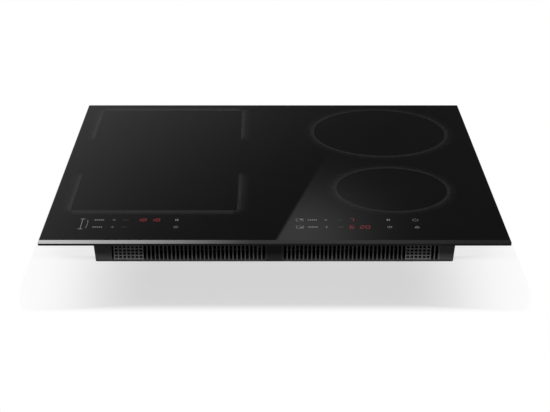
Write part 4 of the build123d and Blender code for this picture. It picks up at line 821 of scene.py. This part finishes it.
def winding_path(x, y, run_x, run_y, start, turns):
    """Points and headings along a flat spiral of quarter turns, spaced evenly."""
    spot = np.array([x + run_x / 2, y - run_y / 2 - start])
    heading = 0.0
    points, headings = [spot - np.array([WIRE_LEAD, 0.0])], [heading]
    radius = start
    for quarter in range(4 * turns):
        middle = spot + np.array([-math.sin(heading), math.cos(heading)]) * radius
        steps = max(TURN_STEPS_LEAST, round(radius * math.pi / 2 / RING_SPACING))
        for step in range(steps):
            turned = heading + math.pi / 2 * step / steps
            points.append(middle + radius * np.array([math.sin(turned), -math.cos(turned)]))
            headings.append(turned)
        heading += math.pi / 2
        spot = middle + radius * np.array([math.sin(heading), -math.cos(heading)])
        ahead = np.array([math.cos(heading), math.sin(heading)])
        run = run_x if quarter % 2 else run_y
        steps = round(run / RING_SPACING)
        for step in range(steps):
            points.append(spot + ahead * run * step / steps)
            headings.append(heading)
        spot = spot + ahead * run
        radius += WIRE_PITCH / 4
    points += [spot, spot + ahead * WIRE_LEAD]
    headings += [heading, heading]
    return np.array(points), np.array(headings)


def litz(name, values):
    """Tube along a winding with a lobe for each twisted bundle."""
    points, headings = winding_path(*values)
    travel = np.concatenate([[0.0], np.cumsum(np.linalg.norm(np.diff(points, axis=0), axis=1))])
    around = 2 * math.pi * np.arange(RING_SIDES) / RING_SIDES
    lay = 2 * math.pi * travel[:, None] / STRAND_LAY
    lobe = np.abs(np.cos((around[None, :] - lay) * STRANDS / 2))
    radius = WIRE_RADIUS * (1 - STRAND_GROOVE + STRAND_GROOVE * lobe)
    across = radius * np.cos(around)
    rise = radius * np.sin(around)
    count = len(points)
    rings = np.empty((count, RING_SIDES, 3))
    rings[:, :, 0] = points[:, None, 0] - np.sin(headings)[:, None] * across
    rings[:, :, 1] = points[:, None, 1] + np.cos(headings)[:, None] * across
    rings[:, :, 2] = WINDING_LEVEL + rise
    index = np.arange(count * RING_SIDES).reshape(count, RING_SIDES)
    beside = np.roll(index, -1, axis=1)
    quads = np.stack([index[:-1], index[1:], beside[1:], beside[:-1]], axis=-1).reshape(-1, 4)
    faces = quads.tolist() + [index[0].tolist(), index[-1][::-1].tolist()]
    made = linked(name, (rings.reshape(-1, 3) * MM).tolist(), faces, SLOT_MATERIALS["litz_copper"])
    made.data.shade_smooth()
    return made


for coil_name, coil_values in WINDINGS.items():
    wire = litz(f"litz_{coil_name}", coil_values)
    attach(wire, "hob")
    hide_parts(f"winding_{coil_name}")


# Camera

camera_data = bpy.data.cameras.new("camera")
camera_data.sensor_width = SENSOR_WIDTH
camera_data.lens = FOCAL_PIXELS * SENSOR_WIDTH / IMAGE_WIDTH
camera_data.shift_x = (IMAGE_WIDTH / 2 - PRINCIPAL_X) / IMAGE_WIDTH
camera_data.clip_start, camera_data.clip_end = CAMERA_CLIP
camera = bpy.data.objects.new("camera", camera_data)
camera.location = Vector(CAMERA_PLACE) * MM
camera.rotation_euler = (math.radians(90 - CAMERA_PITCH), 0, 0)
bpy.context.scene.collection.objects.link(camera)
bpy.context.scene.camera = camera


def mirrored(u, v, lean=0.0):
    """Direction that glass leaning to the front by an angle mirrors at an image point."""
    pitch = math.radians(CAMERA_PITCH)
    right = (u - PRINCIPAL_X) / FOCAL_PIXELS
    down = (v - PRINCIPAL_Y) / FOCAL_PIXELS
    forward = math.cos(pitch) - down * math.sin(pitch)
    seen = Vector((right, forward, -math.sin(pitch) - down * math.cos(pitch)))
    return seen.reflect(Vector((0, -math.sin(lean), math.cos(lean)))).normalized()


# Floor

floor_material = bpy.data.materials.new("floor")
floor_material.use_nodes = True
paper = floor_material.node_tree
paper.nodes.clear()
rays = paper.nodes.new("ShaderNodeLightPath").outputs
shown = fold(paper, "MAXIMUM", rays["Is Camera Ray"], rays["Is Glossy Ray"], rays["Is Transmission Ray"])
floor_axes = split(paper, paper.nodes.new("ShaderNodeTexCoord").outputs["Object"])
floor_x = maths(paper, "ABSOLUTE", floor_axes["X"])
floor_y = maths(paper, "ABSOLUTE", floor_axes["Y"])
# Painted light: the floor's glow, seen only by camera, glossy and transmission rays, lightens the object's
# shadow by place, most at the sides and beside the casing, and turns the floor white past the glass
in_front = ramp(paper, floor_y, *SHADOW_GLOW_REACH, *SHADOW_GLOW)
to_side = ramp(paper, floor_x, *SIDE_GLOW_REACH, smooth=True)
by_casing = ramp(paper, floor_y, *CASING_GLOW_REACH, 0.0, CASING_GLOW, smooth=True)
past_side = maths(paper, "MAXIMUM", maths(paper, "SUBTRACT", floor_x, glass_high.x), 0.0)
past_side = maths(paper, "MULTIPLY", past_side, SIDE_FALL)
past_front = maths(paper, "MAXIMUM", maths(paper, "SUBTRACT", floor_y, glass_high.y), 0.0)
squares = [maths(paper, "POWER", distance, 2.0) for distance in (past_side, past_front)]
past_glass = maths(paper, "SQRT", maths(paper, "ADD", *squares))
far = ramp(paper, past_glass, *SHADOW_REACH, smooth=True)
glow = fold(paper, "MAXIMUM", between(paper, to_side, in_front, SIDE_GLOW), by_casing, far)
pale = maths(paper, "MULTIPLY_ADD", shown, PAPER_SEEN - PAPER_BOUNCE, PAPER_BOUNCE)
matt = node(paper, "ShaderNodeBsdfDiffuse", {"Color": pale}).outputs[0]
white = node(paper, "ShaderNodeEmission", {"Color": (1.0, 1.0, 1.0, 1.0), "Strength": 1.0}).outputs[0]
lit_share = maths(paper, "MULTIPLY", shown, glow)
floor_look = node(paper, "ShaderNodeMixShader", {"Fac": lit_share, 1: matt, 2: white}).outputs[0]
node(paper, "ShaderNodeOutputMaterial", {"Surface": floor_look})

corners = [(x * FLOOR_HALF, y * FLOOR_HALF, -FLOOR_DROP) for x, y in rectangle(-1, -1, 1, 1)]
floor = linked("floor", [Vector(corner) * MM for corner in corners], [(0, 1, 2, 3)], floor_material)


# Lamps


def softbox(name, azimuth, elevation, distance, width, height, radiance):
    """Soft lamp facing the object, placed by angles from the rear (+Y, turning to +X) and the floor.

    Polished faces mirror the room instead of the lamps, whose hard outlines would cut across them.
    """
    data = bpy.data.lights.new(name, "AREA")
    data.shape = "RECTANGLE"
    data.size = width
    data.size_y = height
    data.energy = radiance * math.pi * width * height
    lamp = bpy.data.objects.new(name, data)
    turn, rise = math.radians(azimuth), math.radians(elevation)
    away = Vector((math.sin(turn) * math.cos(rise), math.cos(turn) * math.cos(rise), math.sin(rise)))
    lamp.location = away * distance + Vector((0, 0, glass_high.z))
    lamp.rotation_euler = away.to_track_quat("Z", "Y").to_euler()
    lamp.visible_camera = False
    lamp.visible_glossy = False
    bpy.context.scene.collection.objects.link(lamp)


for lamp_name, lamp_values in LAMPS.items():
    softbox(lamp_name, *lamp_values)


# World: a dim room under a pale ceiling, with the panel and the window, which is brighter to its outer end


def apart(tree, value, middle, reach):
    """Distance of a value from a middle, measured in reaches."""
    return maths(tree, "DIVIDE", maths(tree, "SUBTRACT", value, middle), reach)


def bell(tree, *distances):
    """Bell curve that falls off along one or more distances."""
    total = fold(tree, "ADD", *(maths(tree, "MULTIPLY", distance, distance) for distance in distances))
    return maths(tree, "EXPONENT", maths(tree, "MULTIPLY", total, -1.0))


world = bpy.data.worlds.new("studio")
bpy.context.scene.world = world
world.use_nodes = True
sky = world.node_tree
towards = sky.nodes.new("ShaderNodeTexCoord").outputs["Generated"]
sky_axes = split(sky, towards)
behind = maths(sky, "MAXIMUM", sky_axes["Y"], DEPTH_LEAST)
sideways = maths(sky, "DIVIDE", sky_axes["X"], behind)
upward = maths(sky, "DIVIDE", sky_axes["Z"], behind)

edge_low, edge_high = (mirrored(*spot) for spot in PANEL_EDGE)
edge_normal = edge_high.cross(edge_low).normalized()
if edge_normal.x < 0:
    edge_normal = -edge_normal
past_edge = node(sky, "ShaderNodeVectorMath", {0: towards, 1: edge_normal}, operation="DOT_PRODUCT")
cut = remap(sky, past_edge.outputs["Value"], *PANEL_CUT)
peak = mirrored(*PANEL_PEAK)
off_side = apart(sky, sideways, peak.x / peak.y, PANEL_REACH[0])
off_up = apart(sky, upward, peak.z / peak.y, PANEL_REACH[1])
panel = fold(sky, "MULTIPLY", bell(sky, off_side, off_up), cut, PANEL_RADIANCE)

kinked = maths(sky, "MAXIMUM", maths(sky, "SUBTRACT", upward, WALL_KINK), 0.0)
kinked = maths(sky, "MULTIPLY", kinked, remap(sky, sideways, *WALL_SLANT))
slant = maths(sky, "ADD", sideways, kinked)
left_wall = maths(sky, "POWER", remap(sky, slant, *WALL_SPAN), WALL_POWER)
left_wall = maths(sky, "MULTIPLY", left_wall, remap(sky, sky_axes["Y"], *WALL_LEVEL))

bevel_lean = math.atan(BEVEL_DROP / BEVEL_DEPTH)
window_start, window_peak = (mirrored(*spot, bevel_lean) for spot in WINDOW_SPAN)
window = remap(sky, sideways, window_start.x / window_start.y, window_peak.x / window_peak.y)
window = maths(sky, "POWER", window, WINDOW_POWER)
window = maths(sky, "MULTIPLY", window, remap(sky, sideways, *WINDOW_OUTER, smooth=True))
window = maths(sky, "MULTIPLY_ADD", window, WINDOW_RADIANCE, remap(sky, sideways, *WINDOW_TAIL))
off_window = apart(sky, upward, window_peak.z / window_peak.y, WINDOW_REACH)
window = fold(sky, "MULTIPLY", window, bell(sky, off_window), remap(sky, sky_axes["Y"], *WINDOW_AHEAD))

ceiling = remap(sky, sky_axes["Z"], *CEILING_LEVEL, smooth=True)
front_room = remap(sky, sky_axes["Y"], *FRONT_LEVEL, smooth=True)
radiance = fold(sky, "ADD", panel, ROOM_RADIANCE, left_wall, window, ceiling, front_room)
background = sky.nodes["Background"]
background.inputs["Color"].default_value = (1.0, 1.0, 1.0, 1.0)
sky.links.new(radiance, background.inputs["Strength"])

bpy.context.scene.view_settings.view_transform = "Standard"

bpy.context.view_layer.update()
